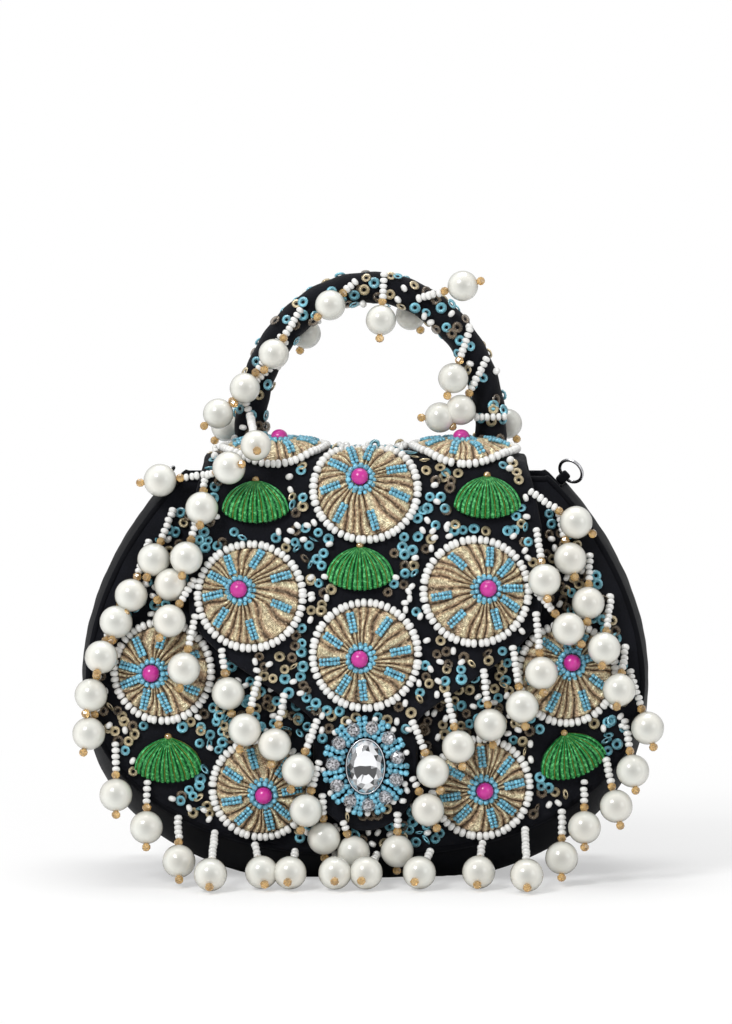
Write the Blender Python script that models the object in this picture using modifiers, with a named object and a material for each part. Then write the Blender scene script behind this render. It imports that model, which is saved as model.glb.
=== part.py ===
"""Beaded top-handle bag: two padded panels on a gusset, a wrap-over flap with its handle,
thread medallions, scallop shells, an oval crystal and rows of pearl drops.

The bag stands on its base at z = 0, its front faces -Y, and x = 0 is its middle.
"""

import math

import bmesh
import bpy
import numpy as np
from mathutils import Vector

# Outline of the panels, seen from the front
WIDEST_HALF = 0.0980
WIDEST_Z = 0.0710
SHOULDER_RISE = 0.1008
SHOULDER_POWER = 1.8
LOW_SEAM_Z = 0.0095
BELLY_POWER = 2.2
RIM_Z = 0.1415
PANEL_MID_Z = 0.0740
GUSSET_TOP_Z = 0.1385
LINING_TOP_Z = 0.1345

# Depth of the bag, from its middle plane
SEAM_DEPTH_LOW = 0.0360
SEAM_DEPTH_RIM = 0.0170
PANEL_SWELL = 0.0090
SIDE_SWELL = 0.0025
BASE_SAG = 0.0150

# Walls, and the gaps between neighbours
PANEL_WALL = 0.0028
GUSSET_WALL = 0.0022
LINING_WALL = 0.0008
FLAP_WALL = 0.0024
FLAP_LINING_WALL = 0.0015
BOARD_WALL = 0.0015
BOARD_DEPTH_SHARE = 0.33
BOARD_LENGTH_SHARE = 0.80
CLEAR = 0.0003
SEAM_CLEAR = 0.0005
FLAP_GAP = 0.0015
LINING_GAP = 0.0018

# Flap: its half width at each level, and its run over the top
FLAP_TOP_HALF = 0.0565
FLAP_CHEEK_HALF = 0.0610
FLAP_CHEEK_TOP_Z = 0.1250
FLAP_CHEEK_LOW_Z = 0.0970
FLAP_SLOPE_POWER = 0.7
TONGUE_HALF = 0.0175
TONGUE_TOP_Z = 0.0580
TONGUE_ROUND_Z = 0.0390
TONGUE_END_Z = 0.0205
FLAP_TOP_Z = 0.1475
FLAP_TOP_CROWN = 0.0025
FLAP_END_DROOP = 0.0020
FLAP_CORNER_DROP = 0.0100
FLAP_CORNER_RUN = 0.0060
FLAP_LINING_SHARE = 0.94
FLAP_FACES = (0, -1, 0.3)

# Handle: an elliptical arch on two short legs
HANDLE_X = 0.0018
HANDLE_Y = 0.0090
HANDLE_HALF_SPAN = 0.0428
HANDLE_SPRING_Z = 0.1555
HANDLE_RISE = 0.0516
HANDLE_RADIUS = 0.0057
LEG_NOTCH_DEPTH = 0.0200

# Medallions and shells
MEDALLION_RADIUS = 0.0197
PANEL_MEDALLION_RADIUS = 0.0184
MEDALLION_RIM = 0.0024
MEDALLION_PAD = 0.0034
MEDALLION_RIB = 0.0006
MEDALLION_RIBS = 9
PLAIN_BACKS = (0.5,)
WRAP_BACKS = (0.66, 0.33)
BUTTON_RADIUS = 0.0030
BUTTON_TOP = 0.0066
BUTTON_CHAMFER = 0.0012
MOTIF_SEAT = 0.0005
WRAP_SEAT = 0.0014
SHELL_HALF_WIDTH = 0.0122
SHELL_HEIGHT = 0.0158
SHELL_DOME = 0.0036
SHELL_RIB = 0.0007
SHELL_RIBS = 6

# Crystal and the beadwork round it
CRYSTAL_HALF_WIDTH = 0.0065
CRYSTAL_HALF_HEIGHT = 0.0092
CRYSTAL_TOP = 0.0056
CRYSTAL_TABLE = 0.62
BROOCH_HALF_WIDTH = 0.0158
BROOCH_HALF_HEIGHT = 0.0170
BROOCH_HEIGHT = 0.0032
BROOCH_SCALLOP = 0.0012
BROOCH_RAYS = 11
BROOCH_Z = 0.0425

# Magnetic snap
SNAP_RADIUS = 0.0070
SNAP_LOWER_WALL = 0.0018
SNAP_Z = 0.0420

# Strap tabs and their rings
TAB_HALF_HEIGHT = 0.0017
TAB_HALF_DEPTH = 0.0030
TAB_SKIN = 0.0008
RING_RADIUS = 0.0044
RING_WIRE = 0.0006
RING_OFFSET = 0.0016
RING_PLAY = 0.0004
RING_LEFT_DEG = 80
RING_RIGHT_DEG = 40

# Pearl drops
PEARL_RADIUS = 0.0058
HANDLE_PEARL_RADIUS = 0.0054
STRAND_RADIUS = 0.0011
STRAND_LENGTH = 0.0190
END_BEAD_RADIUS = 0.0016
ROOT_SINK = 0.0008
PEARL_CLEAR = 0.0005
FLOOR_CLEAR = 0.0004
FLOOR_REACH = 0.0090
DROP_SIDES = 6
SEAM_INSET = 0.0055
LOW_SEAM_INSET = 0.0013
LOW_SEAM_REACH = 0.0300
EDGE_INSET = 0.0015

# Motifs by their middle: x and height on the front panel, x and height on the flap's front,
# and x and y on the flap's top; a medallion's button stands off its middle by the next two
PANEL_MEDALLIONS = (
    (-0.0706, 0.0740, -0.0036, -0.0009), (0.0702, 0.0732, 0.0013, 0.0036),
    (-0.0363, 0.0338, 0.0011, -0.0020), (0.0402, 0.0341, 0.0011, -0.0008),
)
FLAP_MEDALLIONS = (
    (0.0000, 0.1370, -0.0020, 0.0034), (-0.0400, 0.1007, -0.0038, 0.0018),
    (0.0384, 0.1023, 0.0040, 0.0004), (0.0000, 0.0806, -0.0020, -0.0016),
)
TOP_MEDALLIONS = ((-0.0320, -0.0035, 0.0016, -0.0010), (0.0350, -0.0035, -0.0012, -0.0012))
PANEL_SHELLS = ((-0.0687, 0.0436, 0), (0.0717, 0.0452, -18))
FLAP_SHELLS = ((-0.0384, 0.1330, 0), (0.0426, 0.1345, 0), (-0.0019, 0.1103, 0))

# Each drop of an edge: its share of the way along the edge, the run from its root to the
# middle of its pearl in millimetres, and its lean to the right in degrees
FLAP_DROPS = (
    (0.000, 9, 110), (0.000, 16, -83), (0.004, 10, -5), (0.046, 15, -14), (0.094, 13, -41),
    (0.118, 17, -31), (0.159, 19, -12), (0.208, 16, 9), (0.262, 19, -15), (0.297, 18, -11),
    (0.345, 19, -21), (0.393, 18, -15), (0.432, 16, 2), (0.472, 12, 18), (0.543, 14, -1),
    (0.589, 13, 26), (0.653, 19, 22), (0.704, 19, 12), (0.754, 20, 7), (0.796, 21, 9),
    (0.844, 21, 5), (0.867, 17, 41), (0.939, 18, 9), (0.982, 20, 56),
)
FRONT_DROPS = (
    (0.023, 19, -21), (0.058, 20, -18), (0.103, 13, -12), (0.135, 13, -14), (0.166, 15, -16),
    (0.201, 15, -16), (0.251, 18, 1), (0.297, 16, 0), (0.337, 15, 2), (0.371, 14, -4),
    (0.406, 13, 12), (0.441, 10, -10), (0.475, 11, -1), (0.510, 11, -21), (0.555, 12, -20),
    (0.599, 14, -6), (0.637, 16, 0), (0.672, 16, -1), (0.703, 16, 0), (0.732, 17, 12),
    (0.773, 18, 8), (0.819, 21, 17), (0.841, 15, -11), (0.887, 18, -9), (0.928, 17, -3),
    (0.977, 18, 14),
)
BACK_DROP_COUNT = 12
BACK_DROP_RUN = 17
BACK_DROP_ENDS = (0.03, 0.97)
HANDLE_DROPS = (
    (0.159, 19, -49), (0.232, 17, -35), (0.306, 13, -31), (0.442, 7, -47), (0.528, 11, -4),
    (0.606, 17, 106), (0.754, 13, -19), (0.826, 15, -27),
)
HANDLE_BACK_DROPS = ((0.120, 16, -40), (0.373, 12, -19), (0.553, 11, 33), (0.870, 15, 32))

# Two more lie out over the top medallions, and their fourth number is how far they reach
HANDLE_REACHING_DROPS = ((0.070, 8.4, 18, 33), (0.930, 18, -90, 0))

BELLY_DROP = WIDEST_Z - LOW_SEAM_Z
FLAP_STAND_OFF = FLAP_WALL + SEAM_CLEAR + FLAP_LINING_WALL + FLAP_GAP
HINGE_Y = SEAM_DEPTH_RIM
HINGE_Z = RIM_Z + SEAM_CLEAR / 2


def level_share(z):
    """Height as a share of the way from the lowest seam to the rim, held between 0 and 1."""
    return np.clip((z - LOW_SEAM_Z) / (RIM_Z - LOW_SEAM_Z), 0, 1)


def half_width(z):
    """Half the width of a panel at a height: a superellipse, blunter below its widest level."""
    above = np.clip((z - WIDEST_Z) / SHOULDER_RISE, 0, 1) ** SHOULDER_POWER
    below = np.clip((WIDEST_Z - z) / BELLY_DROP, 0, 1) ** BELLY_POWER
    upper = (1 - above) ** (1 / SHOULDER_POWER)
    lower = (1 - below) ** (1 / BELLY_POWER)
    return WIDEST_HALF * np.where(z > WIDEST_Z, upper, lower)


def seam_depth(z):
    """Depth of the seam from the middle plane: deepest at the base."""
    return SEAM_DEPTH_LOW + (SEAM_DEPTH_RIM - SEAM_DEPTH_LOW) * level_share(z)


def panel_depth(x, z):
    """Depth of a panel's outer face: its seam's depth and a swell that dies away at the edges."""
    across = np.clip(np.abs(x) / np.maximum(half_width(z), 1e-4), 0, 1)
    share = level_share(z)
    return seam_depth(z) + PANEL_SWELL * (1 - across**2) * 4 * share * (1 - share)


def seam_curve(samples=160):
    """The seam from the left rim corner round the bottom to the right one, as x and z arrays."""
    corner = math.asin(((RIM_Z - WIDEST_Z) / SHOULDER_RISE) ** (SHOULDER_POWER / 2))
    up = np.linspace(corner, 0, samples, endpoint=False)
    down = np.linspace(0, math.pi / 2, samples)
    x = np.append(
        np.cos(up) ** (2 / SHOULDER_POWER),
        np.maximum(np.cos(down), 0) ** (2 / BELLY_POWER),
    )
    z = np.append(
        WIDEST_Z + SHOULDER_RISE * np.sin(up) ** (2 / SHOULDER_POWER),
        WIDEST_Z - BELLY_DROP * np.sin(down) ** (2 / BELLY_POWER),
    )
    left = np.column_stack((-WIDEST_HALF * x, z))
    right = left[-2::-1] * (-1, 1)
    return np.vstack((left, right))


def along(curve, share):
    """The point at a share of a curve's length, and the unit normal on its right-hand side."""
    steps = np.linalg.norm(np.diff(curve, axis=0), axis=1)
    run = np.append(0, np.cumsum(steps))
    place = np.clip(share, 0, 1) * run[-1]
    point = np.array([np.interp(place, run, curve[:, i]) for i in (0, 1)])
    reach = run[-1] / 200
    ahead = np.array([np.interp(place + reach, run, curve[:, i]) for i in (0, 1)])
    behind = np.array([np.interp(place - reach, run, curve[:, i]) for i in (0, 1)])
    direction = (ahead - behind) / np.linalg.norm(ahead - behind)
    return point, np.array([direction[1], -direction[0]])


SEAM = seam_curve()
SEAM_ANGLES = np.arctan2(SEAM[:, 0], PANEL_MID_Z - SEAM[:, 1])
SEAM_REACHES = np.hypot(SEAM[:, 0], PANEL_MID_Z - SEAM[:, 1])


def outline_reach(right, up):
    """Distance from a panel's middle to its outline, in a direction."""
    to_seam = np.interp(math.atan2(right, -up), SEAM_ANGLES, SEAM_REACHES)
    if up < 1e-6:
        return to_seam
    return min(to_seam, (RIM_Z - PANEL_MID_Z) * math.hypot(right, up) / up)


def front_face(x, z):
    return Vector((x, -float(panel_depth(x, z)), z))


def flap_half(z):
    """Half the flap's width at a height of its front: cheeks, a sloping edge and a round tongue."""
    slope = np.clip((z - TONGUE_TOP_Z) / (FLAP_CHEEK_LOW_Z - TONGUE_TOP_Z), 0, 1)
    slope = (slope * slope * (3 - 2 * slope)) ** FLAP_SLOPE_POWER
    width = TONGUE_HALF + (FLAP_CHEEK_HALF - TONGUE_HALF) * slope
    shoulder = np.clip((z - FLAP_CHEEK_TOP_Z) / (FLAP_TOP_Z - FLAP_CHEEK_TOP_Z), 0, 1)
    width = width + (FLAP_TOP_HALF - FLAP_CHEEK_HALF) * shoulder
    tip = np.clip((TONGUE_ROUND_Z - z) / (TONGUE_ROUND_Z - TONGUE_END_Z), 0, 1)
    return width * np.sqrt(1 - tip**2)


def flap_top(y):
    """Height of the flap's top along its middle: a flat crown between its two corners."""
    return FLAP_TOP_Z + FLAP_TOP_CROWN * (1 - np.clip(np.abs(y) / HINGE_Y, 0, 1) ** 4)


def bend(start, middle, end, count):
    """Points of a quadratic curve, its first one left out."""
    t = np.linspace(0, 1, count + 1)[1:, None]
    return (1 - t) ** 2 * start + 2 * t * (1 - t) * middle + t**2 * end


def flap_line():
    """The flap's middle line as y and z: up from the tongue's tip, over the top to the hinge."""
    hinge = np.array([HINGE_Y, RIM_Z + SEAM_CLEAR])
    rear_y = HINGE_Y - FLAP_CORNER_RUN
    rear = np.array([rear_y, flap_top(rear_y)])
    front_z = FLAP_TOP_Z - FLAP_CORNER_DROP
    step = 0.001
    front = np.array([-panel_depth(0, front_z) - FLAP_STAND_OFF, front_z])
    above = -panel_depth(0, front_z + step) - FLAP_STAND_OFF
    top_y = -HINGE_Y + FLAP_CORNER_RUN / 2
    top = np.array([top_y, flap_top(top_y)])
    slope = (above - front[0]) / step
    turn = np.array([front[0] + slope * (top[1] - front_z), top[1]])
    level_y = np.linspace(rear_y, top_y, 5)[1:]
    levels = np.column_stack((level_y, flap_top(level_y)))
    down_z = np.linspace(front_z, TONGUE_END_Z, 60)[1:]
    down = np.column_stack((-panel_depth(0, down_z) - FLAP_STAND_OFF, down_z))
    rear_turn = np.array([hinge[0], rear[1]])
    from_hinge = (hinge, bend(hinge, rear_turn, rear, 6), levels, bend(top, turn, front, 8), down)
    return np.vstack(from_hinge)[::-1]


FLAP_LINE = flap_line()
FLAP_RUN = np.append(0, np.cumsum(np.linalg.norm(np.diff(FLAP_LINE, axis=0), axis=1)))
FLAP_CREST = int(np.argmax(FLAP_LINE[:, 1]))


def flap_face(x, run):
    """A point of the flap's outer face, by x and the run along its middle line."""
    y = float(np.interp(run, FLAP_RUN, FLAP_LINE[:, 0]))
    z = float(np.interp(run, FLAP_RUN, FLAP_LINE[:, 1]))
    recede = float(panel_depth(0, z) - panel_depth(x, z))
    lifted = np.clip((z - RIM_Z) / (FLAP_TOP_Z - RIM_Z), 0, 1)
    droop = FLAP_END_DROOP * (abs(x) / FLAP_TOP_HALF) ** 8 * lifted
    return Vector((x, y + recede, z - float(droop)))


def front_run(z):
    """The run along the flap at which its front reaches a height."""
    return float(np.interp(z, FLAP_LINE[:FLAP_CREST, 1], FLAP_RUN[:FLAP_CREST]))


def top_run(y):
    """The run along the flap at which its top reaches a depth."""
    top = FLAP_LINE[:, 1] > FLAP_TOP_Z - 1e-6
    return float(np.interp(y, FLAP_LINE[top, 0], FLAP_RUN[top]))


def raised(face, a, b, lift):
    """A point of a face moved out along its normal; b grows upwards on every face."""
    step = 0.0005
    across = face(a + step, b) - face(a - step, b)
    onward = face(a, b + step) - face(a, b - step)
    return face(a, b) + across.cross(onward).normalized() * lift


def material(name, colour, roughness, metallic=0.0):
    made = bpy.data.materials.new(name)
    made.use_nodes = True
    shader = made.node_tree.nodes["Principled BSDF"]
    shader.inputs["Base Color"].default_value = (*colour, 1)
    shader.inputs["Roughness"].default_value = roughness
    shader.inputs["Metallic"].default_value = metallic
    made.diffuse_color = (*colour, 1)
    return made


def add_object(name, mesh, collection, finish=None):
    made = bpy.data.objects.new(name, mesh)
    collection.objects.link(made)
    if finish:
        mesh.materials.append(finish)
    return made


def finish_mesh(name, work, smooth=True):
    """Turns a bmesh into a mesh whose faces point out."""
    bmesh.ops.recalc_face_normals(work, faces=work.faces)
    mesh = bpy.data.meshes.new(name)
    work.to_mesh(mesh)
    work.free()
    if smooth:
        mesh.shade_smooth()
        mesh.set_sharp_from_angle(angle=math.radians(45))
    return mesh


def cutter(made):
    made.hide_render = True
    made.display_type = "WIRE"
    return made


def boolean(made, other, operation):
    modifier = made.modifiers.new(operation.title(), "BOOLEAN")
    modifier.operation = operation
    modifier.solver = "EXACT"
    if isinstance(other, bpy.types.Collection):
        modifier.operand_type = "COLLECTION"
        modifier.collection = other
    else:
        modifier.object = other


def thicken(made, wall, outward=False):
    modifier = made.modifiers.new("Wall", "SOLIDIFY")
    modifier.thickness = wall
    modifier.offset = 1 if outward else -1
    modifier.use_even_offset = False


def shaped_grid(name, columns, rows, shape, towards):
    """A grid primitive with each vertex set by shape(u, v), u and v from 0 to 1.

    Its faces are turned so that the middle one looks the way of the vector towards.
    """
    work = bmesh.new()
    bmesh.ops.create_grid(work, x_segments=columns, y_segments=rows, size=0.5)
    for vertex in work.verts:
        vertex.co = shape(vertex.co.x + 0.5, vertex.co.y + 0.5)
    work.normal_update()
    total = sum((face.normal * face.calc_area() for face in work.faces), Vector())
    if total.dot(towards) < 0:
        bmesh.ops.reverse_faces(work, faces=work.faces)
    mesh = bpy.data.meshes.new(name)
    work.to_mesh(mesh)
    work.free()
    mesh.shade_smooth()
    return mesh


def panel_mesh(name, side):
    """A panel's outer face: a square grid drawn in to the outline; side is -1 at the front."""

    def shape(u, v):
        across = 2 * u - 1
        up = 2 * v - 1
        right = across * math.sqrt(1 - up * up / 2)
        rise = up * math.sqrt(1 - across * across / 2)
        share = math.hypot(right, rise)
        if share < 1e-9:
            return Vector((0, side * float(panel_depth(0, PANEL_MID_Z)), PANEL_MID_Z))
        reach = outline_reach(right, rise)
        x = reach * right
        z = PANEL_MID_Z + reach * rise
        return Vector((x, side * float(panel_depth(x, z)), z))

    return shaped_grid(name, 8, 8, shape, Vector((0, side, 0)))


def gusset_sag(normal_z):
    """How far the gusset stands out past the seam: little at the sides, most at the base."""
    return SIDE_SWELL + (BASE_SAG - SIDE_SWELL) * max(0.0, -normal_z) ** 2


def gusset_point(share, across, inward=0.0):
    """A point of the gusset's outer face, or of one set in from it; across runs from -1 to 1."""
    point, normal = along(SEAM, share)
    out = gusset_sag(normal[1]) * (1 - across**2)
    depth = float(seam_depth(point[1])) - PANEL_WALL - SEAM_CLEAR
    z = max(0.0, point[1] + normal[1] * out) - normal[1] * inward
    return Vector((point[0] + normal[0] * (out - inward), across * depth, z))


def gusset_start():
    """The share of the seam at which the gusset's middle reaches its top level."""
    shares = np.linspace(0, 0.2, 401)
    return min(s for s in shares if gusset_point(s, 0).z < GUSSET_TOP_Z)


def gusset_mesh(name):
    start = gusset_start()

    def shape(u, v):
        return gusset_point(start + (1 - 2 * start) * u, 2 * v - 1)

    return shaped_grid(name, 26, 6, shape, Vector((0, 0, -1)))


def lining_rings(count=6, sides=16):
    """Level sections of the lining's outer face, from its floor to its rim."""
    shares = np.linspace(0.02, 0.5, 120)
    keel = np.array([gusset_point(s, 0, GUSSET_WALL + LINING_GAP) for s in shares])
    spread = np.linspace(0, 1, 60)
    crossing = np.array([gusset_point(0.5, t, GUSSET_WALL + LINING_GAP) for t in spread])
    floor_z = GUSSET_WALL + SEAM_CLEAR + BOARD_WALL + SEAM_CLEAR
    front_wall = PANEL_WALL + LINING_GAP
    rings = []
    for level in np.linspace(0, 1, count) ** 1.6:
        z = floor_z + (LINING_TOP_Z - floor_z) * level
        half_x = float(np.interp(z, keel[::-1, 2], -keel[::-1, 0]))
        deepest = float(np.interp(z, crossing[:, 2], crossing[:, 1]))
        half_y = min(deepest, float(seam_depth(z)) - front_wall)
        power = 2 + 1.6 * level
        ring = []
        for i in range(sides):
            angle = 2 * math.pi * i / sides
            x = half_x * math.copysign(abs(math.cos(angle)) ** (2 / power), math.cos(angle))
            y = half_y * math.copysign(abs(math.sin(angle)) ** (2 / power), math.sin(angle))
            ring.append(Vector((x, y, z)))
        rings.append(ring)
    return rings


def loft_mesh(name, rings, cap_first):
    """Quads between rings of equal count, with a flat cap on the first when asked."""
    work = bmesh.new()
    made = [[work.verts.new(p) for p in ring] for ring in rings]
    for lower, upper in zip(made, made[1:]):
        for i in range(len(lower)):
            j = (i + 1) % len(lower)
            work.faces.new((lower[i], lower[j], upper[j], upper[i]))
    if cap_first:
        work.faces.new(made[0][::-1])
    return finish_mesh(name, work)


def flap_rows():
    """The runs of the flap's rows: close together over its corners and down its sloping edge."""
    breast_z = FLAP_TOP_Z - FLAP_CORNER_DROP
    tip = TONGUE_ROUND_Z - TONGUE_END_Z
    levels = [TONGUE_ROUND_Z - tip * share for share in (0.985, 0.9, 0.7, 0.4)]
    levels += [TONGUE_ROUND_Z]
    levels += list(np.linspace(TONGUE_TOP_Z, FLAP_CHEEK_LOW_Z, 7))
    levels += list(np.linspace(FLAP_CHEEK_LOW_Z, breast_z, 4)[1:])
    rows = [front_run(z) for z in levels]
    front_end = top_run(-HINGE_Y + FLAP_CORNER_RUN / 2)
    rear_end = top_run(HINGE_Y - FLAP_CORNER_RUN)
    rows += list(np.linspace(rows[-1], front_end, 6)[1:])
    rows += list(np.linspace(front_end, rear_end, 3)[1:])
    rows += list(np.linspace(rear_end, FLAP_RUN[-1], 4)[1:])
    return rows


def flap_mesh(name, wall_in, width_share, columns):
    """The flap's outer face, or one set in from it by wall_in and narrowed to a share."""
    rows = flap_rows()

    def shape(u, v):
        run = rows[round(v * (len(rows) - 1))]
        z = flap_face(0, run).z
        half = float(flap_half(z)) * width_share
        return raised(flap_face, (2 * u - 1) * half, run, -wall_in)

    return shaped_grid(name, columns, len(rows) - 1, shape, Vector(FLAP_FACES))


def flap_edge():
    """The flap's edge on its front, from the left top corner round the tongue to the right."""
    z = np.linspace(FLAP_TOP_Z - FLAP_CORNER_DROP / 2, TONGUE_END_Z, 240)
    left = np.column_stack((-(flap_half(z) - EDGE_INSET).clip(0), z))
    return np.vstack((left, left[::-1] * (-1, 1)))


def medallion_mesh(name, face, a, b, seat, size, back_shares, offset):
    """A padded disc that follows a face: a button, radial ribs, a bead rim and a plain back.

    Its button stands off the middle, and its ribs lean with it.
    """
    sides = 2 * MEDALLION_RIBS
    swirl = math.pi / sides
    bands = [
        (BUTTON_RADIUS * 0.8, BUTTON_TOP - BUTTON_CHAMFER, 0, 0, 1),
        (BUTTON_RADIUS * 1.5, MEDALLION_RIM, 0, 0, 1),
        (size * 0.6, MEDALLION_PAD + seat, MEDALLION_RIB, swirl, 0.5),
        (size, MEDALLION_RIM + seat, 0, 2 * swirl, 0),
        (size, seat, 0, 2 * swirl, 0),
    ]
    bands += [(size * share, seat, 0, 2 * swirl, 0) for share in back_shares]
    work = bmesh.new()
    rings = []
    for radius, lift, rib, turn, lean in bands:
        ring = []
        middle_a, middle_b = a + offset[0] * lean, b + offset[1] * lean
        for i in range(sides):
            angle = 2 * math.pi * i / sides + turn
            height = lift + (rib if i % 2 else -rib)
            right, up = radius * math.cos(angle), radius * math.sin(angle)
            ring.append(work.verts.new(raised(face, middle_a + right, middle_b + up, height)))
        rings.append(ring)
    top = raised(face, a + offset[0], b + offset[1], BUTTON_TOP)
    ends = [work.verts.new(top), work.verts.new(raised(face, a, b, seat))]
    for inner, outer in zip(rings, rings[1:]):
        for i in range(sides):
            j = (i + 1) % sides
            work.faces.new((inner[i], inner[j], outer[j], outer[i]))
    for end, ring in zip(ends, (rings[0], rings[-1])):
        for i in range(sides):
            work.faces.new((end, ring[i], ring[(i + 1) % sides]))
    return finish_mesh(name, work)


def shell_mesh(name, face, a, b, tilt_deg, seat):
    """A scallop: ribs fanned out from its apex over a domed back, with a scalloped lip."""
    spread = math.radians(72)
    tilt = math.radians(tilt_deg)
    sides = 2 * SHELL_RIBS
    work = bmesh.new()

    def place(share, i, lift):
        angle = -spread + 2 * spread * i / sides
        reach = SHELL_HEIGHT * (1 - 0.22 * (angle / spread) ** 2)
        reach += SHELL_RIB * (1 if i % 2 else -1)
        right = share * reach * math.sin(angle)
        drop = share * reach * math.cos(angle) - SHELL_HEIGHT / 2
        x = right * math.cos(tilt) - drop * math.sin(tilt)
        fall = right * math.sin(tilt) + drop * math.cos(tilt)
        return work.verts.new(raised(face, a + x, b - fall, lift))

    rows = []
    for share, dome in ((0.12, 0.45), (0.5, 1.0), (0.85, 0.8), (1.0, 0.3)):
        ribs = [seat + SHELL_DOME * dome + SHELL_RIB * (i % 2) for i in range(sides + 1)]
        rows.append([place(share, i, ribs[i]) for i in range(sides + 1)])
    under = [[place(share, i, seat) for i in range(sides + 1)] for share in (0.12, 0.6, 1.0)]
    for group in (rows, under):
        for upper, lower in zip(group, group[1:]):
            for i in range(sides):
                work.faces.new((upper[i], upper[i + 1], lower[i + 1], lower[i]))
    for i in range(sides):
        work.faces.new((rows[-1][i], rows[-1][i + 1], under[-1][i + 1], under[-1][i]))
        work.faces.new((rows[0][i], rows[0][i + 1], under[0][i + 1], under[0][i]))
    for i in (0, sides):
        rim = [row[i] for row in rows] + [row[i] for row in reversed(under)]
        work.faces.new(rim)
    return finish_mesh(name, work)


def oval_ring_mesh(name, bands, seat, rays):
    """Rings of an oval on the tongue; each band is half width, half height, lift and scallop."""
    work = bmesh.new()
    sides = 2 * rays
    rings = []
    run = front_run(BROOCH_Z)
    for half_x, half_z, lift, scallop in bands:
        ring = []
        for i in range(sides):
            angle = 2 * math.pi * i / sides
            grow = scallop if i % 2 else -scallop
            x = (half_x + grow) * math.sin(angle)
            fall = (half_z + grow) * math.cos(angle)
            ring.append(work.verts.new(raised(flap_face, x, run - fall, seat + lift)))
        rings.append(ring)
    return work, rings


def bridge(work, rings, close=False):
    pairs = list(zip(rings, rings[1:]))
    if close:
        pairs.append((rings[-1], rings[0]))
    for inner, outer in pairs:
        for i in range(len(inner)):
            j = (i + 1) % len(inner)
            work.faces.new((inner[i], inner[j], outer[j], outer[i]))


def crystal_mesh(name):
    """A cut oval stone: a girdle, crown facets and a flat table."""
    bands = (
        (CRYSTAL_HALF_WIDTH * 0.9, CRYSTAL_HALF_HEIGHT * 0.9, 0, 0),
        (CRYSTAL_HALF_WIDTH, CRYSTAL_HALF_HEIGHT, CRYSTAL_TOP * 0.45, 0),
        (
            CRYSTAL_HALF_WIDTH * CRYSTAL_TABLE,
            CRYSTAL_HALF_HEIGHT * CRYSTAL_TABLE,
            CRYSTAL_TOP,
            0,
        ),
    )
    work, rings = oval_ring_mesh(name, bands, MOTIF_SEAT, 8)
    bridge(work, rings)
    work.faces.new(rings[0])
    work.faces.new(rings[-1])
    return finish_mesh(name, work, smooth=False)


def brooch_mesh(name):
    """The beadwork round the crystal: an oval ring with a scalloped outer edge."""
    inner_x = CRYSTAL_HALF_WIDTH + 2 * CLEAR
    inner_z = CRYSTAL_HALF_HEIGHT + 2 * CLEAR
    mid_x = (inner_x + BROOCH_HALF_WIDTH) / 2
    mid_z = (inner_z + BROOCH_HALF_HEIGHT) / 2
    low_x = BROOCH_HALF_WIDTH - BROOCH_SCALLOP
    low_z = BROOCH_HALF_HEIGHT - BROOCH_SCALLOP
    bands = (
        (inner_x, inner_z, 0, 0),
        (inner_x, inner_z, BROOCH_HEIGHT * 0.8, 0),
        (mid_x, mid_z, BROOCH_HEIGHT, BROOCH_SCALLOP / 2),
        (low_x, low_z, BROOCH_HEIGHT * 0.5, BROOCH_SCALLOP),
        (low_x, low_z, 0, BROOCH_SCALLOP),
    )
    work, rings = oval_ring_mesh(name, bands, MOTIF_SEAT, BROOCH_RAYS)
    bridge(work, rings, close=True)
    return finish_mesh(name, work)


def handle_line():
    """The handle's middle line: a leg, a half ellipse and a leg, as x and z."""
    foot = flap_top(HANDLE_Y - HANDLE_RADIUS) + CLEAR
    arch = [
        (
            HANDLE_X - HANDLE_HALF_SPAN * math.cos(angle),
            HANDLE_SPRING_Z + HANDLE_RISE * math.sin(angle),
        )
        for angle in np.linspace(0, math.pi, 13)
    ]
    left = (HANDLE_X - HANDLE_HALF_SPAN, foot)
    right = (HANDLE_X + HANDLE_HALF_SPAN, foot)
    return np.array([left, *arch, right])


def tube_mesh(name, points, radius, resolution, cyclic=False):
    """A round tube along points, as a closed mesh."""
    curve = bpy.data.curves.new(name, "CURVE")
    curve.dimensions = "3D"
    curve.bevel_depth = radius
    curve.bevel_resolution = resolution
    curve.use_fill_caps = True
    spline = curve.splines.new("POLY")
    spline.points.add(len(points) - 1)
    for place, point in zip(spline.points, points):
        place.co = (*point, 1)
    spline.use_cyclic_u = cyclic
    guide = bpy.data.objects.new(name, curve)
    bpy.context.scene.collection.objects.link(guide)
    graph = bpy.context.evaluated_depsgraph_get()
    mesh = bpy.data.meshes.new_from_object(guide.evaluated_get(graph))
    bpy.data.objects.remove(guide)
    work = bmesh.new()
    work.from_mesh(mesh)
    bmesh.ops.remove_doubles(work, verts=work.verts, dist=1e-6)
    bmesh.ops.recalc_face_normals(work, faces=work.faces)
    work.to_mesh(mesh)
    work.free()
    mesh.shade_smooth()
    return mesh


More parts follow.
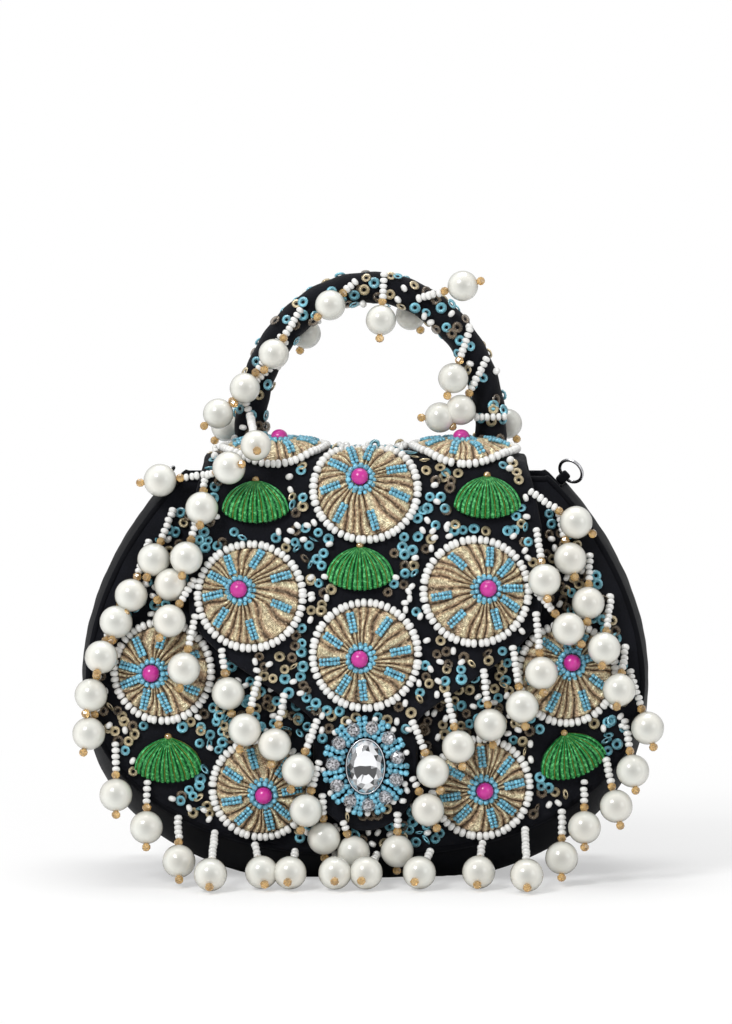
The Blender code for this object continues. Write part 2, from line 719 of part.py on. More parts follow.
def drop_object(name, root, pearl, radius, collection):
    """A turned drop on the line from its root through its pearl: strand, pearl and end bead."""
    length = (Vector(root) - Vector(pearl)).length
    ring = radius * math.sqrt(0.5)
    tail = radius + 2 * END_BEAD_RADIUS
    profile = (
        (0, length),
        (STRAND_RADIUS, length),
        (STRAND_RADIUS, radius),
        (ring, ring),
        (radius, 0),
        (ring, -ring),
        (STRAND_RADIUS * 0.7, -radius),
        (END_BEAD_RADIUS, -radius - END_BEAD_RADIUS),
        (0, -tail),
    )
    mesh = bpy.data.meshes.new(name)
    edges = [(i, i + 1) for i in range(len(profile) - 1)]
    mesh.from_pydata([(x, 0, z) for x, z in profile], edges, [])
    made = cutter(add_object(name, mesh, collection))
    made.location = pearl
    made.rotation_mode = "QUATERNION"
    made.rotation_quaternion = (Vector(root) - Vector(pearl)).to_track_quat("Z", "X")
    screw = made.modifiers.new("Turn", "SCREW")
    screw.axis = "Z"
    screw.steps = DROP_SIDES
    screw.render_steps = DROP_SIDES
    screw.use_merge_vertices = True
    screw.merge_threshold = 0.0001
    return made


def cover(x, z, radius):
    """Height above the front panel of whatever motif or flap lies under a pearl."""
    height = 0.0
    near = radius * 0.7
    pad = MEDALLION_PAD + MEDALLION_RIB + MOTIF_SEAT
    dome = SHELL_DOME + SHELL_RIB + MOTIF_SEAT
    on_panel = [(a, b, PANEL_MEDALLION_RADIUS, pad) for a, b, *_ in PANEL_MEDALLIONS]
    on_panel += [(a, b, SHELL_HALF_WIDTH, dome) for a, b, _ in PANEL_SHELLS]
    flap_pad = FLAP_STAND_OFF + pad
    on_flap = [(a, b, MEDALLION_RADIUS, flap_pad) for a, b, *_ in FLAP_MEDALLIONS]
    on_flap += [(a, b, SHELL_HALF_WIDTH, FLAP_STAND_OFF + dome) for a, b, _ in FLAP_SHELLS]
    for a, b, reach, rise in on_panel + on_flap:
        if math.hypot(x - a, z - b) < reach + near:
            height = max(height, rise)
    if z > TONGUE_END_Z and abs(x) < float(flap_half(z)) + near:
        height = max(height, FLAP_STAND_OFF)
    return height


def hung(curve, share, run_mm, lean_deg, root_lift, side, seam=True):
    """The root and the pearl's middle of a drop that hangs from an edge, on a panel's side.

    A seam's drops start a little way in from it, and low ones splay out along the floor.
    """
    edge, normal = along(curve, share)
    inset = (LOW_SEAM_INSET if edge[1] < LOW_SEAM_REACH else SEAM_INSET) if seam else 0
    x, z = edge - normal * inset
    root = Vector((x, side * (float(panel_depth(x, z)) + root_lift), z))
    lean = math.radians(lean_deg)
    run = run_mm / 1000
    pearl_x = x + run * math.sin(lean)
    pearl_z = max(z - run * math.cos(lean), PEARL_RADIUS + FLOOR_CLEAR)
    lift = PEARL_RADIUS + PEARL_CLEAR
    if side < 0:
        lift += cover(pearl_x, pearl_z, PEARL_RADIUS)
    depth = float(panel_depth(pearl_x, pearl_z)) + lift
    down = z - pearl_z
    if pearl_z < FLOOR_REACH:
        sideways = pearl_x - x
        forward = math.sqrt(max(0.0, STRAND_LENGTH**2 - down**2 - sideways**2))
        depth = max(depth, abs(root.y) + forward)
    steepest = (pearl_z - END_BEAD_RADIUS - FLOOR_CLEAR) / (PEARL_RADIUS + 2 * END_BEAD_RADIUS)
    if steepest < 1:
        splay = down * math.sqrt(1 / steepest**2 - 1)
        depth = max(depth, abs(root.y) + splay)
    return root, Vector((pearl_x, side * depth, pearl_z))


def handle_drop(share, run_mm, lean_deg, side, reach_mm=0):
    """The root and the pearl's middle of a drop on the handle; side is -1 on its front.

    reach_mm is how much further from the handle the pearl stands than one that touches it.
    """
    point, _ = along(handle_line(), share)
    lean = math.radians(lean_deg)
    root = Vector((point[0], HANDLE_Y + side * (HANDLE_RADIUS - ROOT_SINK), point[1]))
    run = run_mm / 1000
    away = HANDLE_RADIUS + HANDLE_PEARL_RADIUS - ROOT_SINK + reach_mm / 1000
    place = (
        point[0] + run * math.sin(lean),
        HANDLE_Y + side * away,
        point[1] - run * math.cos(lean),
    )
    return root, Vector(place)


def add_drops(made, plan, radius, collection):
    """Builds a carrier's drops in a collection of their own and joins them to it."""
    drops = bpy.data.collections.new(made.name + "_drops")
    collection.children.link(drops)
    for number, (root, pearl) in enumerate(plan, 1):
        drop_object(f"{made.name}_drop_{number}", root, pearl, radius, drops)
    boolean(made, drops, "UNION")


def disc_cutter(name, radius, depth, place, normal, collection):
    work = bmesh.new()
    bmesh.ops.create_cone(
        work, cap_ends=True, segments=20, radius1=radius, radius2=radius, depth=depth
    )
    made = add_object(name, finish_mesh(name, work), collection)
    made.location = place
    made.rotation_mode = "QUATERNION"
    made.rotation_quaternion = normal.to_track_quat("Z", "X")
    return made


def build_body(parts, cutters, paint):
    """The panels, gusset, lining and base board, with the lower half of the snap."""
    front = add_object("front_panel", panel_mesh("front_panel", -1), parts, paint["cloth"])
    thicken(front, PANEL_WALL)
    back = add_object("back_panel", panel_mesh("back_panel", 1), parts, paint["cloth"])
    thicken(back, PANEL_WALL)
    gusset = add_object("gusset", gusset_mesh("gusset"), parts, paint["satin"])
    thicken(gusset, GUSSET_WALL)
    lining = add_object(
        "lining", loft_mesh("lining", lining_rings(), True), parts, paint["lining"]
    )
    thicken(lining, LINING_WALL)

    face = front_face(0, SNAP_Z)
    normal = (raised(front_face, 0, SNAP_Z, 0.001) - face).normalized()
    pocket = disc_cutter(
        "snap_pocket",
        SNAP_RADIUS + CLEAR,
        2 * (SNAP_LOWER_WALL + CLEAR),
        face,
        normal,
        cutters,
    )
    cutter(pocket)
    boolean(front, pocket, "DIFFERENCE")
    snap = disc_cutter(
        "snap_lower",
        SNAP_RADIUS,
        SNAP_LOWER_WALL,
        face - normal * (SNAP_LOWER_WALL / 2),
        normal,
        parts,
    )
    snap.data.materials.append(paint["steel"])
    return front, back


def build_board(parts, paint):
    """The stiff board that lies on the flat of the gusset, as long as that flat is."""
    half_y = BOARD_DEPTH_SHARE * (SEAM_DEPTH_LOW - PANEL_WALL)
    flat_until = BASE_SAG * (1 - BOARD_DEPTH_SHARE**2)
    half_x = BOARD_LENGTH_SHARE * float(half_width(flat_until))
    work = bmesh.new()
    bmesh.ops.create_cube(work, size=1)
    bmesh.ops.scale(work, vec=(2 * half_x, 2 * half_y, BOARD_WALL), verts=work.verts)
    board = add_object("base_board", finish_mesh("base_board", work), parts, paint["board"])
    board.location.z = GUSSET_WALL + SEAM_CLEAR + BOARD_WALL / 2


def build_flap(parts, cutters, paint, hinge):
    """The flap, its lining and the upper half of the snap."""
    flap = add_object("flap", flap_mesh("flap", 0, 1, 6), parts, paint["cloth"])
    thicken(flap, FLAP_WALL)
    lining = add_object(
        "flap_lining",
        flap_mesh("flap_lining", FLAP_WALL + SEAM_CLEAR, FLAP_LINING_SHARE, 4),
        parts,
        paint["lining"],
    )
    thicken(lining, FLAP_LINING_WALL)

    run = front_run(SNAP_Z)
    inner = FLAP_WALL + SEAM_CLEAR
    face = raised(flap_face, 0, run, -inner - FLAP_LINING_WALL)
    normal = (raised(flap_face, 0, run, 0) - face).normalized()
    hole = disc_cutter(
        "snap_hole", SNAP_RADIUS + CLEAR, 4 * FLAP_LINING_WALL, face, normal, cutters
    )
    cutter(hole)
    boolean(lining, hole, "DIFFERENCE")
    snap = disc_cutter(
        "snap_upper",
        SNAP_RADIUS,
        FLAP_LINING_WALL - CLEAR,
        face + normal * (FLAP_LINING_WALL - CLEAR) / 2,
        normal,
        parts,
    )
    snap.data.materials.append(paint["steel"])
    for made in (flap, lining, snap):
        ride(made, hinge)
    return flap


def ride(made, hinge):
    """Hangs a piece from the empty on its joint's axis, with the piece left where it is."""
    made.parent = hinge
    made.matrix_parent_inverse = hinge.matrix_world.inverted()


def build_handle(parts, paint, hinge):
    points = [(x, HANDLE_Y, z) for x, z in handle_line()]
    handle = add_object(
        "handle", tube_mesh("handle", points, HANDLE_RADIUS, 2), parts, paint["cloth"]
    )
    ride(handle, hinge)
    return handle


def build_motifs(parts, cutters, paint, hinge):
    """The medallions and shells of the front panel, and those that ride on the flap."""
    number = 0
    for a, b, *offset in FLAP_MEDALLIONS:
        number += 1
        run = front_run(b)
        wraps = b > FLAP_TOP_Z - 2 * FLAP_CORNER_DROP
        seat, backs = (WRAP_SEAT, WRAP_BACKS) if wraps else (MOTIF_SEAT, PLAIN_BACKS)
        name = f"medallion_{number}"
        mesh = medallion_mesh(name, flap_face, a, run, seat, MEDALLION_RADIUS, backs, offset)
        ride(add_object(name, mesh, parts, paint["gold"]), hinge)
    for a, b, *offset in PANEL_MEDALLIONS:
        number += 1
        name = f"medallion_{number}"
        mesh = medallion_mesh(
            name, front_face, a, b, MOTIF_SEAT, PANEL_MEDALLION_RADIUS, PLAIN_BACKS, offset
        )
        add_object(name, mesh, parts, paint["gold"])
    for a, y, *offset in TOP_MEDALLIONS:
        number += 1
        name = f"medallion_{number}"
        mesh = medallion_mesh(
            name, flap_face, a, top_run(y), WRAP_SEAT, MEDALLION_RADIUS, WRAP_BACKS, offset
        )
        made = add_object(name, mesh, parts, paint["gold"])
        leg_x = HANDLE_X + math.copysign(HANDLE_HALF_SPAN, a)
        leg = disc_cutter(
            f"{name}_leg_notch",
            HANDLE_RADIUS + 2 * CLEAR,
            LEG_NOTCH_DEPTH,
            Vector((leg_x, HANDLE_Y, FLAP_TOP_Z)),
            Vector((0, 0, 1)),
            cutters,
        )
        cutter(leg)
        boolean(made, leg, "DIFFERENCE")
        ride(made, hinge)

    number = 0
    for a, b, tilt in FLAP_SHELLS:
        number += 1
        name = f"shell_{number}"
        mesh = shell_mesh(name, flap_face, a, front_run(b), tilt, MOTIF_SEAT)
        ride(add_object(name, mesh, parts, paint["green"]), hinge)
    for a, b, tilt in PANEL_SHELLS:
        number += 1
        name = f"shell_{number}"
        mesh = shell_mesh(name, front_face, a, b, tilt, MOTIF_SEAT)
        add_object(name, mesh, parts, paint["green"])

    ride(add_object("crystal", crystal_mesh("crystal"), parts, paint["crystal"]), hinge)
    ride(add_object("brooch", brooch_mesh("brooch"), parts, paint["blue"]), hinge)


def tab_frame(side):
    """The ring's axis at a gusset's end: a point on it, the way out and the way up."""
    point, normal = along(SEAM, gusset_start())
    out = Vector((-side * normal[0], 0, normal[1]))
    up = Vector((-side * normal[1], 0, -normal[0]))
    end = Vector((-side * point[0], 0, point[1])) + out * (SIDE_SWELL - GUSSET_WALL / 2)
    return end + up * (TAB_HALF_HEIGHT + CLEAR) + out * RING_OFFSET, out, up


def build_tabs(parts, cutters, paint):
    """Each side's fabric tab on the gusset's end, and the ring that turns in its bore."""
    bore_radius = RING_WIRE + RING_PLAY
    bore_radius += RING_RADIUS - math.sqrt(RING_RADIUS**2 - TAB_HALF_HEIGHT**2)
    for side, name, swing in ((-1, "left", RING_LEFT_DEG), (1, "right", RING_RIGHT_DEG)):
        axis, out, up = tab_frame(side)
        inner = RING_OFFSET + GUSSET_WALL / 2
        outer = bore_radius + TAB_SKIN
        work = bmesh.new()
        bmesh.ops.create_cube(work, size=1)
        size = (inner + outer, 2 * TAB_HALF_DEPTH, 2 * TAB_HALF_HEIGHT)
        bmesh.ops.scale(work, vec=size, verts=work.verts)
        bmesh.ops.translate(work, vec=((outer - inner) / 2, 0, 0), verts=work.verts)
        tab = add_object(f"tab_{name}", finish_mesh("tab", work, False), parts, paint["satin"])
        tab.location = axis
        tab.rotation_euler.y = -math.atan2(up.z, up.x) + math.pi / 2
        if side < 0:
            tab.rotation_euler.z = math.pi
            tab.rotation_euler.y = -tab.rotation_euler.y
        bore = disc_cutter(
            f"tab_{name}_bore", bore_radius, 4 * TAB_HALF_HEIGHT, axis, up, cutters
        )
        cutter(bore)
        boolean(tab, bore, "DIFFERENCE")

        swung = math.radians(swing)
        away = out * math.cos(swung) + Vector((0, -1, 0)) * math.sin(swung)
        points = [
            away * RING_RADIUS * (1 - math.cos(turn)) + up * RING_RADIUS * math.sin(turn)
            for turn in np.linspace(0, 2 * math.pi, 12, endpoint=False)
        ]
        mesh = tube_mesh(f"ring_{name}", points, RING_WIRE, 1, cyclic=True)
        ring = add_object(f"ring_{name}", mesh, parts, paint["steel"])
        ring.location = axis


def main():
    for made in list(bpy.data.objects):
        bpy.data.objects.remove(made)
    parts = bpy.data.collections.new("beaded_bag")
    cutters = bpy.data.collections.new("bag_cutters")
    for collection in (parts, cutters):
        bpy.context.scene.collection.children.link(collection)

    paint = {
        "cloth": material("black_embroidered_cloth", (0.012, 0.013, 0.02), 0.75),
        "satin": material("black_satin", (0.01, 0.01, 0.014), 0.45),
        "lining": material("lining_cloth", (0.03, 0.03, 0.04), 0.7),
        "board": material("base_board", (0.25, 0.2, 0.15), 0.8),
        "gold": material("gold_thread", (0.55, 0.38, 0.2), 0.45),
        "green": material("green_thread", (0.02, 0.32, 0.07), 0.45),
        "blue": material("blue_beads", (0.25, 0.5, 0.7), 0.3),
        "crystal": material("crystal", (0.85, 0.88, 0.9), 0.05),
        "steel": material("steel", (0.5, 0.5, 0.52), 0.3, 1.0),
    }

    hinge = bpy.data.objects.new("flap_hinge", None)
    hinge.location = (0, HINGE_Y, HINGE_Z)
    parts.objects.link(hinge)
    bpy.context.view_layer.update()

    front, back = build_body(parts, cutters, paint)
    build_board(parts, paint)
    flap = build_flap(parts, cutters, paint, hinge)
    handle = build_handle(parts, paint, hinge)
    build_motifs(parts, cutters, paint, hinge)
    build_tabs(parts, cutters, paint)

    root_lift = FLAP_STAND_OFF - FLAP_WALL / 2
    edge = flap_edge()
    add_drops(
        flap,
        [hung(edge, *drop, root_lift, -1, seam=False) for drop in FLAP_DROPS],
        PEARL_RADIUS,
        cutters,
    )
    add_drops(
        front,
        [hung(SEAM, *drop, -ROOT_SINK, -1) for drop in FRONT_DROPS],
        PEARL_RADIUS,
        cutters,
    )
    add_drops(
        back,
        [
            hung(SEAM, share, BACK_DROP_RUN, 0, -ROOT_SINK, 1)
            for share in np.linspace(*BACK_DROP_ENDS, BACK_DROP_COUNT)
        ],
        PEARL_RADIUS,
        cutters,
    )
    add_drops(
        handle,
        [handle_drop(*drop, -1) for drop in HANDLE_DROPS]
        + [handle_drop(*drop, 1) for drop in HANDLE_BACK_DROPS]
        + [handle_drop(*drop[:3], -1, drop[3]) for drop in HANDLE_REACHING_DROPS],
        HANDLE_PEARL_RADIUS,
        cutters,
    )


if __name__ == "__main__":
    main()
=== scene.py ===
"""The beaded top-handle bag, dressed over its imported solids.

Cloth shells, thread medallions, scallop shells, a cut stone in beadwork, sequins, seed beads and
strings of pearls are worked out as whole arrays from the bag's own outline and laid on it.
Lengths are metres; the bag stands on z = 0 and its front faces -Y.
"""

import math

import bpy
import numpy as np
from bpy.props import FloatProperty, FloatVectorProperty, IntProperty, PointerProperty
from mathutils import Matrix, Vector


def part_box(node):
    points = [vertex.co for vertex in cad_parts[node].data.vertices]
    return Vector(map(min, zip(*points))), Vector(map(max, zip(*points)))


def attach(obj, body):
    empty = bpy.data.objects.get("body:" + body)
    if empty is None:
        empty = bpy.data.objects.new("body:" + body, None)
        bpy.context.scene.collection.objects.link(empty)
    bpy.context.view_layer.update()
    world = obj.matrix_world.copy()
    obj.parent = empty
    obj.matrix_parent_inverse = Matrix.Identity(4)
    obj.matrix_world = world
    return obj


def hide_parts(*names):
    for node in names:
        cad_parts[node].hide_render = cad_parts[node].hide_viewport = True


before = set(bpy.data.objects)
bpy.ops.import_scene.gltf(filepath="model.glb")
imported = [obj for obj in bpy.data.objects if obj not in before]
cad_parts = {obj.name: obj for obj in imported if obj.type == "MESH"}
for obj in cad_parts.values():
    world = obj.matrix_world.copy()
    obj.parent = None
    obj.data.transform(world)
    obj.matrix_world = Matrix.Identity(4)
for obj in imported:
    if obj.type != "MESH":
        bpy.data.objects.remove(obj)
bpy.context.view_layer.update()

bl_info = {
    "name": "Beaded Top-Handle Bag",
    "version": (1, 0, 0),
    "blender": (4, 5, 0),
    "location": "3D View > Sidebar > Beaded Bag",
    "description": "Dresses the bag's solids in cloth, thread motifs, beads, sequins and pearls",
    "category": "Object",
}

# Outline of the panels and depth of the bag
WIDEST_HALF = 0.0980
WIDEST_Z = 0.0710
SHOULDER_RISE = 0.1008
SHOULDER_POWER = 1.8
BELLY_DROP = 0.0615
BELLY_POWER = 2.2
RIM_Z = 0.1415
PANEL_MID_Z = 0.0740
GUSSET_TOP_Z = 0.1385
LINING_TOP_Z = 0.1345
SEAM_DEPTH_LOW = 0.0360
SEAM_DEPTH_RIM = 0.0170
PANEL_SWELL = 0.0090
SIDE_SWELL = 0.0025
BASE_SAG = 0.0150
LOW_SEAM_Z = WIDEST_Z - BELLY_DROP

# Walls and clearances
PANEL_WALL = 0.0028
GUSSET_WALL = 0.0022
LINING_WALL = 0.0008
FLAP_WALL = 0.0024
FLAP_LINING_WALL = 0.0015
SEAM_CLEAR = 0.0005
FLAP_GAP = 0.0015
LINING_GAP = 0.0018
BOARD_WALL = 0.0015
FLAP_STAND_OFF = FLAP_WALL + SEAM_CLEAR + FLAP_LINING_WALL + FLAP_GAP

# Flap
FLAP_TOP_HALF = 0.0565
FLAP_CHEEK_HALF = 0.0610
FLAP_CHEEK_TOP_Z = 0.1250
FLAP_CHEEK_LOW_Z = 0.0970
FLAP_SLOPE_POWER = 0.7
TONGUE_HALF = 0.0175
TONGUE_TOP_Z = 0.0580
TONGUE_ROUND_Z = 0.0390
TONGUE_END_Z = 0.0205
FLAP_TOP_Z = 0.1475
FLAP_TOP_CROWN = 0.0025
FLAP_END_DROOP = 0.0020
FLAP_CORNER_DROP = 0.0100
FLAP_CORNER_RUN = 0.0060
FLAP_LINING_SHARE = 0.94
EDGE_INSET = 0.0015
HINGE_Y = SEAM_DEPTH_RIM

# Handle
HANDLE_X = 0.0018
HANDLE_Y = 0.0090
HANDLE_HALF_SPAN = 0.0428
HANDLE_SPRING_Z = 0.1555
HANDLE_RISE = 0.0516
HANDLE_RADIUS = 0.0057

# Motifs
MEDALLION_RADIUS = 0.0197
PANEL_MEDALLION_RADIUS = 0.0184
MEDALLION_PAD = 0.0034
MEDALLION_RIB = 0.0006
MOTIF_SEAT = 0.0005
SHELL_HALF_WIDTH = 0.0122
SHELL_HEIGHT = 0.0158
SHELL_DOME = 0.0036
SHELL_RIB = 0.0007
CRYSTAL_HALF_WIDTH = 0.0065
CRYSTAL_HALF_HEIGHT = 0.0092
BROOCH_Z = 0.0425

# Thread, beads and bindings of the dressing alone
PAD_INSET = 0.0027
CORD_RADIUS = 0.00035
UNDERSIDE = 0.0001
RIM_STEP = 1.42
STRING_STEP = 1.36
SEWN_STEP = 1.38
BEAD_SWELL = 1.08
HALO_OFFSETS = (0.0010, 0.0016)
HALO_NUMBERS = (13, 15)
HALO_BEADS = (0.00116, 0.00088)
DASHES = 8
DASH_BEADS = 6
DASH_STEP = 0.00122
DASH_ASIDE = 0.00072
DASH_BEAD = 0.00080
KNOT_RADIUS = 0.0013
BINDING_RADIUS = 0.0013
BINDING_INSET = 0.0012
BINDING_SINK = 0.0010
BINDING_FLOOR = 0.0016
FLAP_BINDING_RADIUS = 0.0011
FLAP_BINDING_INSET = 0.0004
PUCKER = 0.00012
LINING_PUCKER = 0.0001
GUSSET_FOLD = 0.00014
LINING_FOLD = 0.0005
STONE_TABLE = 0.0056
STONE_BASE = 0.0004
SPANGLE_SHARES = (0.36, 0.20, 0.16, 0.20, 0.08)
SPANGLE_MARGIN = 0.0012
EDGEWISE_SHARE = 0.1
STRING_BOW = 0.0007
STRING_WOBBLE = 0.0001
STRING_OVERLAP = 0.0006

# Picture
CAMERA_DISTANCE = 2.0
CAMERA_RISE = math.radians(4)
CAMERA_TARGET = (0.0002, -0.020, 0.1292)
SENSOR_HEIGHT = 36
PIXELS_HIGH = 1024
PIXELS_PER_METRE = 2850
FLOOR_RADIUS = 40

# Tabs and rings
TAB_HALF_HEIGHT = 0.0017
TAB_HALF_DEPTH = 0.0030
TAB_SKIN = 0.0008
RING_RADIUS = 0.0044
RING_WIRE = 0.0006
RING_OFFSET = 0.0016
RING_PLAY = 0.0004
RING_DEGREES = {"left": 80, "right": 40}

# Pearl drops
PEARL_RADIUS = 0.0058
HANDLE_PEARL_RADIUS = 0.0054
STRAND_LENGTH = 0.0190
END_BEAD_RADIUS = 0.0016
ROOT_SINK = 0.0008
PEARL_CLEAR = 0.0005
FLOOR_CLEAR = 0.0004
FLOOR_REACH = 0.0090
SEAM_INSET = 0.0055
LOW_SEAM_INSET = 0.0013
LOW_SEAM_REACH = 0.0300

# Each medallion: x and height (or y on the top), and how far its button lies off its middle
PANEL_MEDALLIONS = (
    (-0.0706, 0.0740, -0.0036, -0.0009), (0.0702, 0.0732, 0.0013, 0.0036),
    (-0.0363, 0.0338, 0.0011, -0.0020), (0.0402, 0.0341, 0.0011, -0.0008),
)
FLAP_MEDALLIONS = (
    (0.0000, 0.1370, -0.0020, 0.0034), (-0.0400, 0.1007, -0.0038, 0.0018),
    (0.0384, 0.1023, 0.0040, 0.0004), (0.0000, 0.0806, -0.0020, -0.0016),
)
TOP_MEDALLIONS = ((-0.0320, -0.0035, 0.0016, -0.0010), (0.0350, -0.0035, -0.0012, -0.0012))
PANEL_SHELLS = ((-0.0687, 0.0436, 0), (0.0717, 0.0452, -18))
FLAP_SHELLS = ((-0.0384, 0.1330, 0), (0.0426, 0.1345, 0), (-0.0019, 0.1103, 0))

# Each drop: share of the way along its edge, run to its pearl in mm, lean to the right in degrees
FLAP_DROPS = (
    (0.000, 9, 110), (0.000, 16, -83), (0.004, 10, -5), (0.046, 15, -14), (0.094, 13, -41),
    (0.118, 17, -31), (0.159, 19, -12), (0.208, 16, 9), (0.262, 19, -15), (0.297, 18, -11),
    (0.345, 19, -21), (0.393, 18, -15), (0.432, 16, 2), (0.472, 12, 18), (0.543, 14, -1),
    (0.589, 13, 26), (0.653, 19, 22), (0.704, 19, 12), (0.754, 20, 7), (0.796, 21, 9),
    (0.844, 21, 5), (0.867, 17, 41), (0.939, 18, 9), (0.982, 20, 56),
)
FRONT_DROPS = (
    (0.023, 19, -21), (0.058, 20, -18), (0.103, 13, -12), (0.135, 13, -14), (0.166, 15, -16),
    (0.201, 15, -16), (0.251, 18, 1), (0.297, 16, 0), (0.337, 15, 2), (0.371, 14, -4),
    (0.406, 13, 12), (0.441, 10, -10), (0.475, 11, -1), (0.510, 11, -21), (0.555, 12, -20),
    (0.599, 14, -6), (0.637, 16, 0), (0.672, 16, -1), (0.703, 16, 0), (0.732, 17, 12),
    (0.773, 18, 8), (0.819, 21, 17), (0.841, 15, -11), (0.887, 18, -9), (0.928, 17, -3),
    (0.977, 18, 14),
)
BACK_DROPS = tuple((share, 17, 0) for share in np.linspace(0.03, 0.97, 12))
HANDLE_DROPS = (
    (0.159, 19, -49, -1, 0), (0.232, 17, -35, -1, 0), (0.306, 13, -31, -1, 0),
    (0.442, 7, -47, -1, 0), (0.528, 11, -4, -1, 0), (0.606, 17, 106, -1, 0),
    (0.754, 13, -19, -1, 0), (0.826, 15, -27, -1, 0), (0.120, 16, -40, 1, 0),
    (0.373, 12, -19, 1, 0), (0.553, 11, 33, 1, 0), (0.870, 15, 32, 1, 0),
    (0.070, 8.4, 18, -1, 33), (0.930, 18, -90, -1, 0),
)


def unit(v):
    """Each vector divided by its own length."""
    return v / np.maximum(np.linalg.norm(v, axis=-1, keepdims=True), 1e-12)


def level_share(z):
    """Height as a share of the way from the lowest seam to the rim, held between 0 and 1."""
    return np.clip((z - LOW_SEAM_Z) / (RIM_Z - LOW_SEAM_Z), 0, 1)


def half_width(z):
    """Half width of a panel at a height: (1 - t^p)^(1/p) of the widest, p by shoulder or belly."""
    above = np.clip((z - WIDEST_Z) / SHOULDER_RISE, 0, 1) ** SHOULDER_POWER
    below = np.clip((WIDEST_Z - z) / BELLY_DROP, 0, 1) ** BELLY_POWER
    upper = (1 - above) ** (1 / SHOULDER_POWER)
    lower = (1 - below) ** (1 / BELLY_POWER)
    return WIDEST_HALF * np.where(z > WIDEST_Z, upper, lower)


def seam_depth(z):
    """Depth of the seam from the middle plane, linear in height."""
    return SEAM_DEPTH_LOW + (SEAM_DEPTH_RIM - SEAM_DEPTH_LOW) * level_share(z)


def panel_depth(x, z):
    """The seam's depth and a swell: (1 - u^2) 4 s (1 - s), u across and s up the panel."""
    across = np.clip(np.abs(x) / np.maximum(half_width(z), 1e-4), 0, 1)
    share = level_share(z)
    return seam_depth(z) + PANEL_SWELL * (1 - across**2) * 4 * share * (1 - share)


def front_face(x, z):
    """The front panel's outer face: depth as a function of x and height."""
    x, z = np.broadcast_arrays(x, z)
    return np.stack((x, -panel_depth(x, z), z), -1)


def circle(count):
    """Angles spaced evenly round a full turn."""
    return np.linspace(0, 2 * math.pi, count, endpoint=False)


def seam_curve(samples=400):
    """The seam as a superellipse in two halves, from the left rim corner round to the right."""
    corner = math.asin(((RIM_Z - WIDEST_Z) / SHOULDER_RISE) ** (SHOULDER_POWER / 2))
    up = np.linspace(corner, 0, samples, endpoint=False)
    down = np.linspace(0, math.pi / 2, samples)
    upper, lower = 2 / SHOULDER_POWER, 2 / BELLY_POWER
    x = np.append(np.cos(up) ** upper, np.maximum(np.cos(down), 0) ** lower)
    rise, fall = SHOULDER_RISE * np.sin(up) ** upper, BELLY_DROP * np.sin(down) ** lower
    z = WIDEST_Z + np.append(rise, -fall)
    left = np.column_stack((-WIDEST_HALF * x, z))
    return np.vstack((left, left[-2::-1] * (-1, 1)))


def along(curve, shares):
    """Points at shares of a flat curve's length, and the unit normals on its right-hand side."""
    steps = np.linalg.norm(np.diff(curve, axis=0), axis=1)
    run = np.append(0, np.cumsum(steps))
    place = np.clip(shares, 0, 1) * run[-1]
    reach = run[-1] / 200

    def at(spot):
        return np.stack([np.interp(spot, run, curve[:, i]) for i in (0, 1)], -1)

    onward = unit(at(place + reach) - at(place - reach))
    return at(place), np.stack((onward[..., 1], -onward[..., 0]), -1)


SEAM = seam_curve()
SEAM_ANGLES = np.arctan2(SEAM[:, 0], PANEL_MID_Z - SEAM[:, 1])
SEAM_REACHES = np.hypot(SEAM[:, 0], PANEL_MID_Z - SEAM[:, 1])


def flap_half(z):
    """Half the flap's width at a height: cheeks, an eased slope and a round tongue."""
    slope = np.clip((z - TONGUE_TOP_Z) / (FLAP_CHEEK_LOW_Z - TONGUE_TOP_Z), 0, 1)
    slope = (slope * slope * (3 - 2 * slope)) ** FLAP_SLOPE_POWER
    width = TONGUE_HALF + (FLAP_CHEEK_HALF - TONGUE_HALF) * slope
    shoulder = np.clip((z - FLAP_CHEEK_TOP_Z) / (FLAP_TOP_Z - FLAP_CHEEK_TOP_Z), 0, 1)
    width = width + (FLAP_TOP_HALF - FLAP_CHEEK_HALF) * shoulder
    tip = np.clip((TONGUE_ROUND_Z - z) / (TONGUE_ROUND_Z - TONGUE_END_Z), 0, 1)
    return width * np.sqrt(1 - tip**2)


def flap_top(y):
    """Height of the flap's top along its middle: a crown that falls as the fourth power."""
    return FLAP_TOP_Z + FLAP_TOP_CROWN * (1 - np.clip(np.abs(y) / HINGE_Y, 0, 1) ** 4)


def bend(start, middle, end, count):
    """Points of a quadratic curve, its first one left out."""
    t = np.linspace(0, 1, count + 1)[1:, None]
    return (1 - t) ** 2 * start + 2 * t * (1 - t) * middle + t**2 * end


